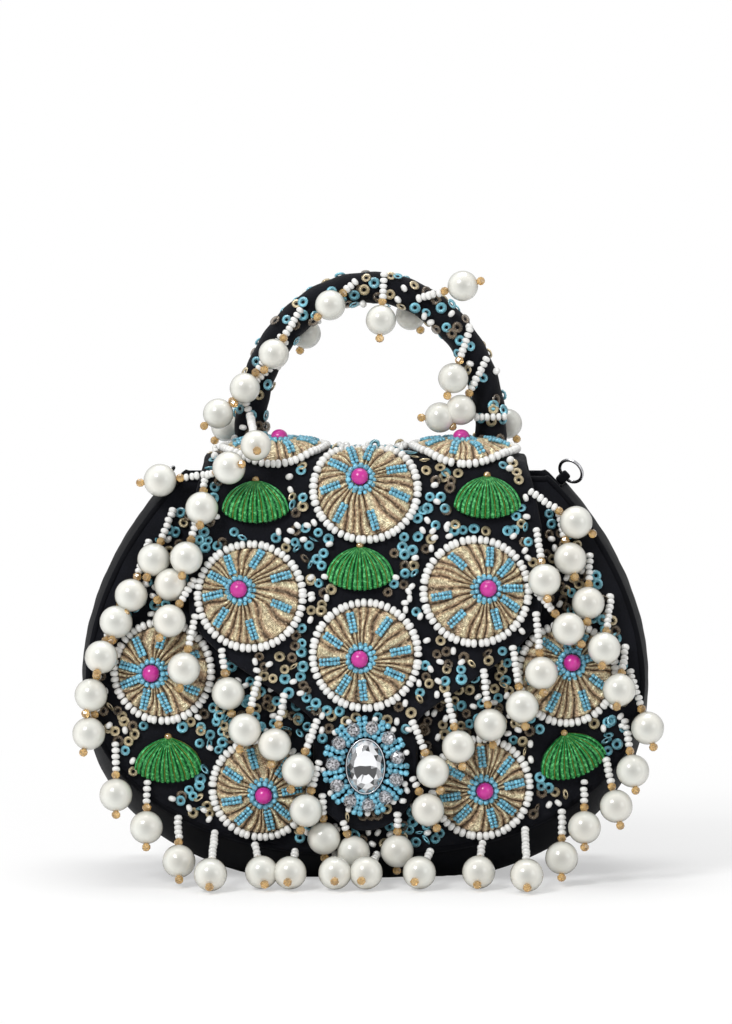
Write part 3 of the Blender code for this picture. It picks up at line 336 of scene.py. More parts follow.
def flap_line():
    """The flap's middle line as y and z: up from the tongue's tip, over the top to the hinge."""
    hinge = np.array([HINGE_Y, RIM_Z + SEAM_CLEAR])
    rear_y = HINGE_Y - FLAP_CORNER_RUN
    rear = np.array([rear_y, flap_top(rear_y)])
    front_z = FLAP_TOP_Z - FLAP_CORNER_DROP
    step = 0.001
    front = np.array([-panel_depth(0, front_z) - FLAP_STAND_OFF, front_z])
    above = -panel_depth(0, front_z + step) - FLAP_STAND_OFF
    top_y = -HINGE_Y + FLAP_CORNER_RUN / 2
    top = np.array([top_y, flap_top(top_y)])
    slope = (above - front[0]) / step
    turn = np.array([front[0] + slope * (top[1] - front_z), top[1]])
    level_y = np.linspace(rear_y, top_y, 40)[1:]
    levels = np.column_stack((level_y, flap_top(level_y)))
    down_z = np.linspace(front_z, TONGUE_END_Z, 300)[1:]
    down = np.column_stack((-panel_depth(0, down_z) - FLAP_STAND_OFF, down_z))
    rear_turn = np.array([hinge[0], rear[1]])
    parts = (hinge, bend(hinge, rear_turn, rear, 24), levels, bend(top, turn, front, 40), down)
    return np.vstack(parts)[::-1]


FLAP_LINE = flap_line()
FLAP_RUN = np.append(0, np.cumsum(np.linalg.norm(np.diff(FLAP_LINE, axis=0), axis=1)))
FLAP_CREST = int(np.argmax(FLAP_LINE[:, 1]))


def flap_face(x, run):
    """The flap's outer face, by x and the run along its middle line up from the tongue's tip."""
    x, run = np.broadcast_arrays(x, run)
    y = np.interp(run, FLAP_RUN, FLAP_LINE[:, 0])
    z = np.interp(run, FLAP_RUN, FLAP_LINE[:, 1])
    recede = panel_depth(0, z) - panel_depth(x, z)
    lifted = np.clip((z - RIM_Z) / (FLAP_TOP_Z - RIM_Z), 0, 1)
    droop = FLAP_END_DROOP * (np.abs(x) / FLAP_TOP_HALF) ** 8 * lifted
    return np.stack((x, y + recede, z - droop), -1)


def front_run(z):
    """The run along the flap at which its front reaches a height."""
    return np.interp(z, FLAP_LINE[:FLAP_CREST, 1], FLAP_RUN[:FLAP_CREST])


def top_run(y):
    """The run along the flap at which its top reaches a depth."""
    top = FLAP_LINE[:, 1] > FLAP_TOP_Z - 1e-6
    return np.interp(y, FLAP_LINE[top, 0], FLAP_RUN[top])


def handle_line(samples=200):
    """The handle's middle line: a leg, half an ellipse and a leg, as x and z."""
    foot = float(flap_top(HANDLE_Y - HANDLE_RADIUS)) + 0.0003
    turn = np.linspace(0, math.pi, samples)
    x = HANDLE_X - HANDLE_HALF_SPAN * np.cos(turn)
    z = HANDLE_SPRING_Z + HANDLE_RISE * np.sin(turn)
    return np.column_stack((np.r_[x[0], x, x[-1]], np.r_[foot, z, foot]))


HANDLE_LINE = handle_line()


def handle_face(around, share):
    """The handle's tube: its middle line and a circle across it; around is in radians."""
    around, share = np.broadcast_arrays(around, share)
    place, normal = along(HANDLE_LINE, share)
    out = -normal * np.cos(around)[..., None] * HANDLE_RADIUS
    y = HANDLE_Y - np.sin(around) * HANDLE_RADIUS
    return np.stack((place[..., 0] + out[..., 0], y, place[..., 1] + out[..., 1]), -1)


def seated(face, a, b, lift=0.0, step=0.0004):
    """A point of a face moved out along the normal, and the axes there: across, up and out."""
    across = unit(face(a + step, b) - face(a - step, b))
    out = unit(np.cross(across, face(a, b + step) - face(a, b - step)))
    axes = np.stack((across, np.cross(out, across), out), -1)
    return face(a, b) + out * np.asarray(lift)[..., None], axes


def raised(face, a, b, lift):
    """A point of a face moved out along the face's normal."""
    return seated(face, a, b, lift)[0]


def turned(axes, angle):
    """Axes turned about their own third one."""
    cos, sin = np.cos(angle)[..., None], np.sin(angle)[..., None]
    first = axes[..., 0] * cos + axes[..., 1] * sin
    second = axes[..., 1] * cos - axes[..., 0] * sin
    return np.stack((first, second, axes[..., 2]), -1)


def tilted(axes, right, up):
    """Axes whose third one leans by two slopes, towards the first and the second."""
    out = unit(axes[..., 2] + axes[..., 0] * right[..., None] + axes[..., 1] * up[..., None])
    first = unit(axes[..., 0] - out * (axes[..., 0] * out).sum(-1, keepdims=True))
    return np.stack((first, np.cross(out, first), out), -1)


def pointed(direction):
    """Axes whose third one runs along a direction, the other two square to it."""
    out = unit(direction)
    aside = np.where(np.abs(out[..., 1:2]) < 0.9, (0.0, 1.0, 0.0), (1.0, 0.0, 0.0))
    first = unit(np.cross(aside, out))
    return np.stack((first, np.cross(out, first), out), -1)


def grid_faces(rows, columns, close=False):
    """Quads of a grid of points in rows; close joins the last column to the first."""
    i, j = np.meshgrid(np.arange(rows - 1), np.arange(columns - (not close)), indexing="ij")
    a = i * columns + j
    b = i * columns + (j + 1) % columns
    return np.stack((a, b, b + columns, a + columns), -1).reshape(-1, 4)


def fan_faces(start, columns, pole):
    """Triangles from a ring of points to a pole."""
    j = np.arange(columns)
    return np.stack((start + j, start + (j + 1) % columns, np.full(columns, pole)), -1)


def volume(points, faces):
    """The volume a closed surface holds: a sixth of the sum of its corner triple products."""
    total = 0.0
    for group in faces:
        for k in range(1, group.shape[1] - 1):
            a, b, c = points[group[:, 0]], points[group[:, k]], points[group[:, k + 1]]
            total += (a * np.cross(b, c)).sum() / 6
    return total


def outward(points, faces):
    """The faces, all turned round when they hold a negative volume."""
    if volume(points, faces) < 0:
        return [group[:, ::-1] for group in faces]
    return faces


def walled(outer, inner):
    """A closed wall between an outer and an inner grid of points, joined at their edges."""
    rows, columns = outer.shape[:2]
    count = rows * columns
    points = np.vstack((outer.reshape(-1, 3), inner.reshape(-1, 3)))
    faces = grid_faces(rows, columns)
    index = np.arange(count).reshape(rows, columns)
    loop = np.concatenate((index[0, :-1], index[:-1, -1], index[-1, :0:-1], index[:0:-1, 0]))
    after = np.roll(loop, -1)
    rim = np.column_stack((after, loop, loop + count, after + count))
    return points, outward(points, [np.vstack((faces, faces[:, ::-1] + count, rim))])


def capped(rings, first, last):
    """A closed surface of rings of points, with a fan from each end ring to a point."""
    rows, columns = rings.shape[:2]
    count = rows * columns
    points = np.vstack((rings.reshape(-1, 3), first, last))
    fans = np.vstack((
        fan_faces(0, columns, count)[:, ::-1], fan_faces(count - columns, columns, count + 1)
    ))
    return points, outward(points, [grid_faces(rows, columns, True), fans])


def looped(rings):
    """A closed surface of rings of points, the last ring joined to the first."""
    rows, columns = rings.shape[:2]
    points = rings.reshape(-1, 3)
    return points, outward(points, [grid_faces(rows + 1, columns, True) % len(points)])


def stamped(shape, places, axes, sizes):
    """Copies of one small shape: its points times a size, turned to axes and set at each place."""
    points, faces = shape
    sizes = np.broadcast_to(np.asarray(sizes, float), (len(places), 3))
    local = points[None] * sizes[:, None, :]
    made = np.einsum("nij,nkj->nki", axes, local) + places[:, None]
    shift = (np.arange(len(places)) * len(points))[:, None, None]
    groups = [(group[None] + shift).reshape(-1, group.shape[1]) for group in faces]
    return made.reshape(-1, 3), groups


def joined(parts):
    """Several sets of points and faces as one, and the number of faces that each brings."""
    points, groups, counts, start = [], [], [], 0
    for made, faces in parts:
        points.append(made)
        groups += [group + start for group in faces]
        counts.append(sum(len(group) for group in faces))
        start += len(made)
    return np.vstack(points), groups, counts


def round_shape(segments, rings, squash=1.0, power=1.0):
    """A sphere of radius 1 about its third axis, flattened along it by squash.

    A power under 1 makes it blunter: sines and cosines of the way down are raised to it.
    """
    down = np.linspace(0, math.pi, rings + 1)[1:-1]
    high = np.sign(np.cos(down)) * np.abs(np.cos(down)) ** power * squash
    return capped(swept(np.sin(down) ** power, high, segments), (0, 0, squash), (0, 0, -squash))


def swept(radius, height, segments):
    """Rings of points about the third axis, by their radii and heights."""
    around = circle(segments)
    radius, height = np.array(radius)[:, None], np.array(height)[:, None]
    rings = (radius * np.cos(around), radius * np.sin(around), height + 0 * around)
    return np.stack(rings, -1)


def turned_shape(profile, segments):
    """A closed profile of radius and height pairs swept round the third axis."""
    return looped(swept(*np.array(profile, float).T, segments))


SEED = round_shape(9, 6, 0.68, 0.84)
TINY = round_shape(6, 4, 0.85, 0.8)
PEARL = round_shape(28, 18)
CUT_BEAD = round_shape(8, 5, 0.95)
SEQUIN = turned_shape(((0.34, 0.05), (1.0, 0.16), (0.62, -0.02)), 11)


def add_piece(name, shape, labels, body, node=None, smooth=True, paint=None, marks=()):
    """Puts points and faces into a mesh object that rides on a body and may replace a node.

    labels name its finishes, paint gives each face's finish number, and marks are named
    numbers on its first points, 0 on the rest.
    """
    points, faces = shape
    mesh = bpy.data.meshes.new(name)
    loops = np.concatenate([group.ravel() for group in faces]).astype(np.int32)
    totals = np.concatenate([np.full(len(group), group.shape[1]) for group in faces])
    starts = np.append(0, np.cumsum(totals)[:-1]).astype(np.int32)
    mesh.vertices.add(len(points))
    mesh.vertices.foreach_set("co", np.asarray(points, np.float32).ravel())
    mesh.loops.add(len(loops))
    mesh.loops.foreach_set("vertex_index", loops)
    mesh.polygons.add(len(totals))
    mesh.polygons.foreach_set("loop_start", starts)
    for label in labels.split():
        mesh.materials.append(finish(label))
    if paint is not None:
        mesh.polygons.foreach_set("material_index", np.asarray(paint, np.int32))
    shade = np.broadcast_to(smooth, len(totals)).astype(bool)
    mesh.polygons.foreach_set("use_smooth", shade)
    for label, values in marks:
        mark = mesh.attributes.new(label, "FLOAT", "POINT")
        values = np.append(values, np.zeros(len(points) - np.size(values)))
        mark.data.foreach_set("value", values.astype(np.float32))
    mesh.update(calc_edges=True)
    mesh.validate()
    piece = bpy.data.objects.new(name, mesh)
    bpy.context.scene.collection.objects.link(piece)
    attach(piece, body)
    if node:
        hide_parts(node)
    return piece


def add_mixed(name, parts, labels, body, node=None, sharp=-1, marks=(), numbers=None):
    """One piece of several sets, each in its own finish; sharp is the one shaded flat."""
    points, faces, counts = joined(parts)
    paint = np.repeat(np.arange(len(parts)) if numbers is None else numbers, counts)
    return add_piece(name, (points, faces), labels, body, node, paint != sharp, paint, marks)


def add_node(tree, kind, inputs, **settings):
    """A new shader node, its settings made and its inputs set or joined to sockets."""
    made = tree.nodes.new("ShaderNode" + kind)
    for label, value in settings.items():
        setattr(made, label, value)
    feed(tree, made, inputs)
    return made


def feed(tree, made, inputs):
    """Sets a node's inputs, by name or number, to constants or joins sockets to them."""
    for label, value in inputs.items():
        if isinstance(value, bpy.types.NodeSocket):
            tree.links.new(value, made.inputs[label])
        else:
            made.inputs[label].default_value = (*value, 1) if isinstance(value, tuple) else value


def maths(tree, operation, first, second=0.0):
    """One sum on sockets or numbers."""
    return add_node(tree, "Math", {0: first, 1: second}, operation=operation).outputs["Value"]


def mapped(tree, source, low, high):
    """A value from 0 to 1 as one from low to high."""
    inputs = {"Value": source, "To Min": low, "To Max": high}
    return add_node(tree, "MapRange", inputs).outputs["Result"]


def tinted(colour, share):
    """A colour made darker or lighter by a share, held within 1."""
    return tuple(min(1.0, channel * share) for channel in colour)


class Look:
    """A new material, by its tree, its shader and the shader's colour."""

    def __init__(self, name, colour, roughness, **extra):
        self.made = bpy.data.materials.new(name)
        self.made.use_nodes = True
        self.colour, self.tree = colour, self.made.node_tree
        self.shader = self.tree.nodes["Principled BSDF"]
        self.wear(Base_Color=tuple(colour), Roughness=roughness, **extra)

    def wear(self, **inputs):
        """Sets or joins the shader's own inputs and gives the material."""
        inputs = {label.replace("_", " "): value for label, value in inputs.items()}
        feed(self.tree, self.shader, inputs)
        return self.made

    def texture(self, kind, scale, **inputs):
        """A texture over the object's own coordinates, its scale in cells to the metre."""
        place = add_node(self.tree, "TexCoord", {}).outputs["Object"]
        inputs = {"Vector": place, "Scale": scale, **inputs}
        return add_node(self.tree, "Tex" + kind, inputs).outputs

    def noise(self, scale, detail=1, roughness=0.5):
        """A soft noise from 0 to 1."""
        return self.texture("Noise", scale, Detail=detail, Roughness=roughness)["Fac"]

    def ramp(self, source, *stops):
        """A colour ramp of positions, each with a colour or a share of the look's own."""
        made = add_node(self.tree, "ValToRGB", {"Fac": source})
        while len(made.color_ramp.elements) < len(stops):
            made.color_ramp.elements.new(0.5)
        for element, (position, colour) in zip(made.color_ramp.elements, stops):
            colour = colour if isinstance(colour, tuple) else tinted(self.colour, colour)
            element.position, element.color = position, (*colour, 1)
        return made.outputs["Color"]

    def mixed(self, share, first, second, blend="MULTIPLY"):
        """Two colours, sockets or constants, blended by a share."""
        inputs = {0: share, 6: first, 7: second}
        return add_node(self.tree, "Mix", inputs, data_type="RGBA", blend_type=blend).outputs[2]

    def mark(self, label):
        """A number that the mesh carries on its points."""
        return add_node(self.tree, "Attribute", {}, attribute_name=label).outputs["Fac"]

    def waves(self, source, rate):
        """A sine of so many radians to one of the source, from 0 to 1."""
        wave = maths(self.tree, "SINE", maths(self.tree, "MULTIPLY", source, rate))
        return maths(self.tree, "ADD", maths(self.tree, "MULTIPLY", wave, 0.5), 0.5)

    def bump(self, height, strength, depth):
        """A bump of so many metres from a height between 0 and 1."""
        inputs = {"Strength": strength, "Distance": depth, "Height": height}
        return add_node(self.tree, "Bump", inputs).outputs["Normal"]


WHITE = (1.0, 1.0, 1.0)


def velvet(name, colour):
    """Black pile: a fine nap that catches light at its edges, with slow changes of depth."""
    look = Look(name, colour, 0.85, Sheen_Weight=0.06, Sheen_Roughness=0.5, Specular_IOR_Level=0.12)
    both = maths(look.tree, "ADD", look.noise(2600, 3, 0.6), look.noise(120, 3, 0.55))
    half = maths(look.tree, "MULTIPLY", both, 0.5)
    shade = look.ramp(half, (0.35, 0.5), (0.75, 1.9))
    return look.wear(Base_Color=shade, Normal=look.bump(both, 0.6, 0.0004))


def satin(name, colour):
    """Black satin: fine crossing threads in a sheen that follows the folds."""
    look = Look(name, colour, 0.55, Specular_IOR_Level=0.06)
    place = add_node(look.tree, "TexCoord", {}).outputs["Object"]
    inputs = {"Vector": place, "Scale": 900, "Distortion": 1.2, "Detail": 1}
    threads = [add_node(look.tree, "TexWave", inputs, bands_direction=way) for way in "XZ"]
    weave = maths(look.tree, "MULTIPLY", *(thread.outputs["Fac"] for thread in threads))
    slow = look.noise(45, 3, 0.6)
    height = maths(look.tree, "ADD", maths(look.tree, "MULTIPLY", weave, 0.25), slow)
    return look.wear(
        Base_Color=look.ramp(slow, (0.3, 0.4), (0.8, 0.9)),
        Roughness=mapped(look.tree, slow, 0.45, 0.65), Normal=look.bump(height, 0.5, 0.0008),
    )


def plain_weave(name, colour, roughness, slow, fine, stops, **extra):
    """Dark plain-woven cloth: slow changes of shade, and a bump as fine as its threads."""
    look = Look(name, colour, roughness, **extra)
    shade = look.ramp(look.noise(slow, 2), *stops)
    return look.wear(Base_Color=shade, Normal=look.bump(look.noise(fine, 2), 0.5, 0.0003))


def metal_thread(name, colour):
    """Gold thread over padding: painted highlights on rib crests, painted brown shade in creases,
    painted glitter.
    """
    look = Look(name, colour, 0.38, Metallic=0.45, Specular_IOR_Level=0.6)
    # painted light: by the rib's fold mark, painted shade darkens the creases and a painted
    # highlight lightens the crests past the thread's own colour
    crest = look.ramp(look.mark("fold"), (0.0, 0.06), (0.35, 0.45), (0.65, 1.0), (1.0, 1.3))
    glitter = look.texture("Voronoi", 1700)
    # painted glitter: small cells of thread made lighter or darker at random, standing in for light
    # glancing off the metal
    painted_sparkle = look.ramp(
        glitter["Color"], (0.2, (0.42, 0.36, 0.30)), (0.55, (0.85, 0.82, 0.78)), (0.85, WHITE)
    )
    wound = look.waves(look.mark("wound"), 11.0)
    turns = look.ramp(wound, (0.05, (0.66, 0.60, 0.54)), (0.6, WHITE))
    shade = look.mixed(0.8, look.mixed(0.85, crest, painted_sparkle), turns)
    warm = look.ramp(look.noise(160, 2, 0.6), (0.35, (0.86, 0.8, 0.78)), (0.65, WHITE))
    # painted glints: a few cells get light added over the thread's colour
    painted_glint_cells = look.texture("Voronoi", 1250)["Color"]
    painted_glints = look.ramp(painted_glint_cells, (0.66, (0.0, 0.0, 0.0)), (0.8, (0.42, 0.36, 0.24)))
    shade = look.mixed(1.0, look.mixed(1.0, shade, warm), painted_glints, "ADD")
    height = maths(look.tree, "ADD", glitter["Distance"], maths(look.tree, "MULTIPLY", wound, 0.5))
    return look.wear(Base_Color=shade, Normal=look.bump(height, 0.9, 0.0005))


def green_thread(name, colour):
    """Green floss laid across each shell's ribs, with a fine gold cord in some of its creases."""
    look = Look(name, colour, 0.38, Metallic=0.2, Specular_IOR_Level=0.5)
    # painted light: by the rib's fold mark, painted shade darkens the creases and a painted
    # highlight lightens the crests
    green = look.ramp(look.mark("fold"), (0.0, 0.05), (0.5, 0.35), (1.0, 1.1))
    floss = look.waves(look.mark("across"), 120.0)
    lined = look.ramp(floss, (0.1, (0.22, 0.30, 0.22)), (0.85, WHITE))
    # painted glints: a few cells get light green added over the floss's colour
    painted_glint_cells = look.texture("Voronoi", 1500)["Color"]
    painted_glints = look.ramp(painted_glint_cells, (0.62, (0.0, 0.0, 0.0)), (0.8, (0.10, 0.30, 0.13)))
    shade = look.mixed(1.0, look.mixed(0.85, green, lined), painted_glints, "ADD")
    thread = bpy.context.scene.beaded_bag.thread_colour
    gold = (thread[0] * 0.7, thread[1] * 0.95, 0.08)
    shade = look.mixed(look.mark("cord"), shade, gold, "MIX")
    return look.wear(Base_Color=shade, Normal=look.bump(floss, 0.5, 0.0002))


def glossy(name, colour, spread, roughness=0.22, scale=420, coat=(0.4, 0.08), low=0.3, **extra):
    """Beads or sequins under a clear coat, whose shade changes from one to the next."""
    look = Look(name, colour, roughness, Coat_Weight=coat[0], Coat_Roughness=coat[1], **extra)
    stops = ((low, 1 - spread), (1 - low, 1 + spread))
    return look.wear(Base_Color=look.ramp(look.noise(scale), *stops))


def film(name, colour, spread, **extra):
    """Glossy sequin film."""
    extra = {"Specular_IOR_Level": 0.8, **extra}
    return glossy(name, colour, spread, 0.2, 230, (0.6, 0.05), 0.32, **extra)


def pearl_finish(name, colour):
    """Imitation pearl: a creamy body under a clear coat, and painted shade, greyer and greener, at
    a low angle.
    """
    look = Look(
        name, colour, 0.25, Coat_Weight=0.7, Coat_Roughness=0.10, Specular_IOR_Level=0.5
    )
    # painted light by viewing angle: a darker middle, a lighter ring, then painted shade and
    # reflection towards the rim, greyer and greener at a low angle
    facing = add_node(look.tree, "LayerWeight", {"Blend": 0.35}).outputs["Facing"]
    low = (colour[0] * 0.34, colour[1] * 0.33, colour[2] * 0.28)
    rim = look.ramp(
        facing, (0.0, 0.56), (0.03, 0.66), (0.08, 0.79), (0.18, 0.91), (0.30, 0.86), (0.46, 0.74),
        (0.85, low),
    )
    blush = look.ramp(look.noise(90, 2), (0.35, (1.0, 0.985, 0.95)), (0.65, (0.985, 1.0, 0.985)))
    normal = look.bump(look.noise(900), 0.04, 0.0002)
    return look.wear(Base_Color=look.mixed(1.0, rim, blush), Normal=normal)


def plated(name, colour, roughness):
    """Plated metal with faint wear."""
    look = Look(name, colour, roughness, Metallic=1.0)
    worn = mapped(look.tree, look.noise(700, 3, 0.6), roughness * 0.7, roughness * 1.5)
    return look.wear(Roughness=worn)


def stone_painted_reflection(name, level):
    """Foil of one brightness seen through a clear facet: a painted reflection."""
    colour = (level, level * 1.01, level * 1.03)
    return Look(name, colour, 0.12, Metallic=0.7, Coat_Weight=1.0, Coat_Roughness=0.02).made


def all_finishes(settings):
    """The way to make each finish of the bag, by its label."""
    lining = settings.lining_colour
    return {
        "velvet": lambda: velvet("black_velvet", settings.cloth_colour),
        "satin": lambda: satin("black_satin", settings.cloth_colour),
        "lining": lambda: plain_weave(
            "lining_weave", lining, 0.62, 60, 1800, ((0.3, 0.6), (0.7, 1.6)), Sheen_Weight=0.2
        ),
        "board": lambda: plain_weave(
            "board_cover", lining, 0.75, 1400, 1400, ((0.3, 0.9), (0.7, 1.9))
        ),
        "gold": lambda: metal_thread("gold_thread", settings.thread_colour),
        "green": lambda: green_thread("green_thread", settings.shell_colour),
        "white": lambda: glossy("white_beads", settings.white_colour, 0.06),
        "blue": lambda: glossy("blue_beads", settings.blue_colour, 0.5, 0.16, 900),
        "magenta": lambda: glossy("magenta_beads", settings.button_colour, 0.08, 0.3),
        "amber": lambda: glossy(
            "amber_beads", settings.amber_colour, 0.35, 0.06, Transmission_Weight=0.6, IOR=1.5,
            Specular_IOR_Level=0.9,
        ),
        "grey": lambda: glossy(
            "grey_beads", (0.38, 0.38, 0.40), 0.95, 0.08, 1500, Transmission_Weight=0.25,
            IOR=1.55, Metallic=0.3,
        ),
        "pearl": lambda: pearl_finish("pearl", settings.pearl_colour),
        "turquoise": lambda: film("turquoise_sequins", settings.sequin_colour, 0.4),
        "cream": lambda: film("cream_sequins", (0.72, 0.6, 0.38), 0.3, Metallic=0.35),
        "bronze": lambda: film("bronze_sequins", (0.25, 0.19, 0.13), 0.5, Alpha=0.6, Metallic=0.2),
        # lighter and darker copies of one facet finish: painted reflections
        "stone": lambda: stone_painted_reflection("stone_painted_grey", 0.34),
        "stone_light": lambda: stone_painted_reflection("stone_light", 0.86),
        "stone_dark": lambda: stone_painted_reflection("stone_dark", 0.05),
        "foil": lambda: plated("stone_foil", (0.62, 0.64, 0.67), 0.18),
        "steel": lambda: plated("ring_steel", (0.5, 0.5, 0.52), 0.25),
        "cord": lambda: Look("dark_cord", (0.05, 0.04, 0.035), 0.6).made,
    }


FINISHES = {}


def finish(label):
    """A finish of the bag, made once and shared by all the pieces that wear it."""
    if label not in FINISHES:
        FINISHES[label] = all_finishes(bpy.context.scene.beaded_bag)[label]()
    return FINISHES[label]


def tint(name, description, default):
    """A colour of the dressing."""
    return FloatVectorProperty(
        name=name, description=description, default=default, subtype="COLOR", min=0, max=1
    )


def metres(name, description, default, low, high):
    """A length of the dressing."""
    return FloatProperty(
        name=name, description=description, default=default, min=low, max=high, unit="LENGTH",
        subtype="DISTANCE",
    )


class BeadedBagSettings(bpy.types.PropertyGroup):
    """The sizes and colours of the bag's dressing."""

    cloth_colour: tint("Cloth", "Colour of the velvet and the satin", (0.0042, 0.0046, 0.0072))
    lining_colour: tint("Lining", "Colour of the lining", (0.022, 0.023, 0.03))
    thread_colour: tint("Gold thread", "Colour of the medallions' thread", (0.95, 0.73, 0.51))
    shell_colour: tint("Shells", "Colour of the shells' thread", (0.010, 0.30, 0.055))
    white_colour: tint("White beads", "Colour of the white seed beads", (0.78, 0.775, 0.755))
    blue_colour: tint("Blue beads", "Colour of the sky-blue beads", (0.145, 0.41, 0.54))
    button_colour: tint("Buttons", "Colour of each medallion's middle bead", (0.52, 0.014, 0.27))
    amber_colour: tint("Cut beads", "Colour of the beads next to each pearl", (0.78, 0.50, 0.20))
    pearl_colour: tint("Pearls", "Colour of the pearls", (0.87, 0.86, 0.81))
    sequin_colour: tint("Sequins", "Colour of the turquoise sequins", (0.21, 0.54, 0.66))
    seed_radius: metres("Seed bead", "Radius of a white seed bead", 0.00146, 0.0005, 0.003)
    sequin_radius: metres("Sequin", "Radius of a sequin", 0.0020, 0.001, 0.004)
    sequin_pitch: metres("Sequin spacing", "Middle to middle of sequins", 0.0036, 0.003, 0.02)
    button_radius: metres("Button", "Radius of a medallion's middle bead", 0.0030, 0.001, 0.006)
    thread_ribs: IntProperty(
        name="Ribs", description="Ribs of thread in a medallion", default=27, min=8, max=60
    )
    shell_ribs: IntProperty(
        name="Shell ribs", description="Ribs of thread in a shell", default=15, min=5, max=40
    )


def panel_points(side, inward, rings=40, columns=168):
    """Rings of a panel's face set in by a wall: polar shares of the outline from its middle."""
    turn = circle(columns)
    right, up = np.sin(turn), np.cos(turn)
    reach = np.interp(np.arctan2(right, -up), SEAM_ANGLES, SEAM_REACHES)
    top = np.where(up > 1e-6, (RIM_Z - PANEL_MID_Z) / np.maximum(up, 1e-6), 1.0)
    ring = np.linspace(0.015, 1, rings)[:, None] ** 0.8 * np.minimum(reach, top)
    x = ring * right
    z = PANEL_MID_Z + ring * up
    return np.stack((x, side * (panel_depth(x, z) - inward), z), -1)


def panel_piece(name, side, node):
    """A panel's cloth wall, its outer skin a little puckered."""
    outer = panel_points(side, 0.0)
    pucker = np.sin(outer[..., 0] * 310 + 3 * np.sin(outer[..., 2] * 120))
    outer[..., 1] += side * PUCKER * (pucker - 1)
    shape = capped_wall(outer, panel_points(side, PANEL_WALL))
    piece = add_piece(name, shape, "velvet", "bag", node)


def tube(path, radius, segments=10, closed=False, side=(0.0, 1.0, 0.0)):
    """Circles square to a path, turned to a side direction; its ends are capped or joined up."""
    before, after = (path[-1:], path[:1]) if closed else (2 * path[:1] - path[1:2],
                                                          2 * path[-1:] - path[-2:-1])
    longer = np.vstack((before, path, after))
    onward = unit(longer[2:] - longer[:-2])
    first = unit(np.cross(np.broadcast_to(side, path.shape), onward))
    around = circle(segments)[:, None]
    ring = first[:, None] * np.cos(around) + np.cross(onward, first)[:, None] * np.sin(around)
    rings = path[:, None] + ring * np.broadcast_to(radius, len(path))[:, None, None]
    return looped(rings) if closed else capped(rings, path[0], path[-1])


class BAG_OT_body_cloth(bpy.types.Operator):
    """Make the two panels, the gusset and the satin binding of their seams"""

    bl_idname = "beaded_bag.body_cloth"
    bl_label = "Body cloth"

    def execute(self, context):
        panel_piece("front_panel_velvet", -1, "front_panel")
        panel_piece("back_panel_velvet", 1, "back_panel")
        start = gusset_start()
        share, across = np.meshgrid(
            np.linspace(start, 1 - start, 320), np.linspace(-1, 1, 41), indexing="ij"
        )
        outer = gusset_face(share, across, 0.0, True)
        shape = walled(outer, gusset_face(share, across, GUSSET_WALL, True))
        piece = add_piece("gusset_satin", shape, "satin", "bag", "gusset")
        for side, name in ((-1, "front_binding"), (1, "back_binding")):
            self.bind(side, name)
        return {"FINISHED"}

    @staticmethod
    def bind(side, name):
        """A satin cord along a panel's seam and rim, at its outer corner."""
        point, normal = along(SEAM, np.linspace(0.0, 1.0, 500))
        inset = point - normal * BINDING_INSET
        rim_x = np.linspace(inset[-1, 0], inset[0, 0], 160)[1:-1]
        rim = np.column_stack((rim_x, np.full(len(rim_x), RIM_Z - BINDING_INSET)))
        x, z = np.vstack((inset, rim)).T
        y = side * (panel_depth(x, z) - BINDING_SINK)
        path = np.column_stack((x, y, np.maximum(z, BINDING_FLOOR)))
        add_piece(name, tube(path, BINDING_RADIUS, closed=True), "satin", "bag")


def tongue_round(count, share=1.0):
    """Heights down the tongue's round end, closer together towards its tip."""
    return TONGUE_ROUND_Z - (TONGUE_ROUND_Z - TONGUE_END_Z) * np.sin(
        np.linspace(0, math.pi / 2 * share, count)
    )


def flap_wall(wall_in, thick, share, columns, rows, wave):
    """Outer and inner grids of the flap or its lining; a row's half width follows its height."""
    tip = front_run(tongue_round(rows // 6, 0.97)[::-1])
    run = np.append(tip, np.linspace(front_run(TONGUE_ROUND_Z), FLAP_RUN[-1], rows)[1:])[:, None]
    half = flap_half(np.minimum(flap_face(0.0, run)[..., 2], FLAP_TOP_Z)) * share
    across = np.linspace(-1, 1, columns)
    x, run = np.broadcast_arrays(half * across, run)
    ripple = wave * (np.sin(x * 260 + 2 * np.sin(run * 90)) - 1) * (1 - across**8)
    return raised(flap_face, x, run, ripple - wall_in), raised(flap_face, x, run, -wall_in - thick)


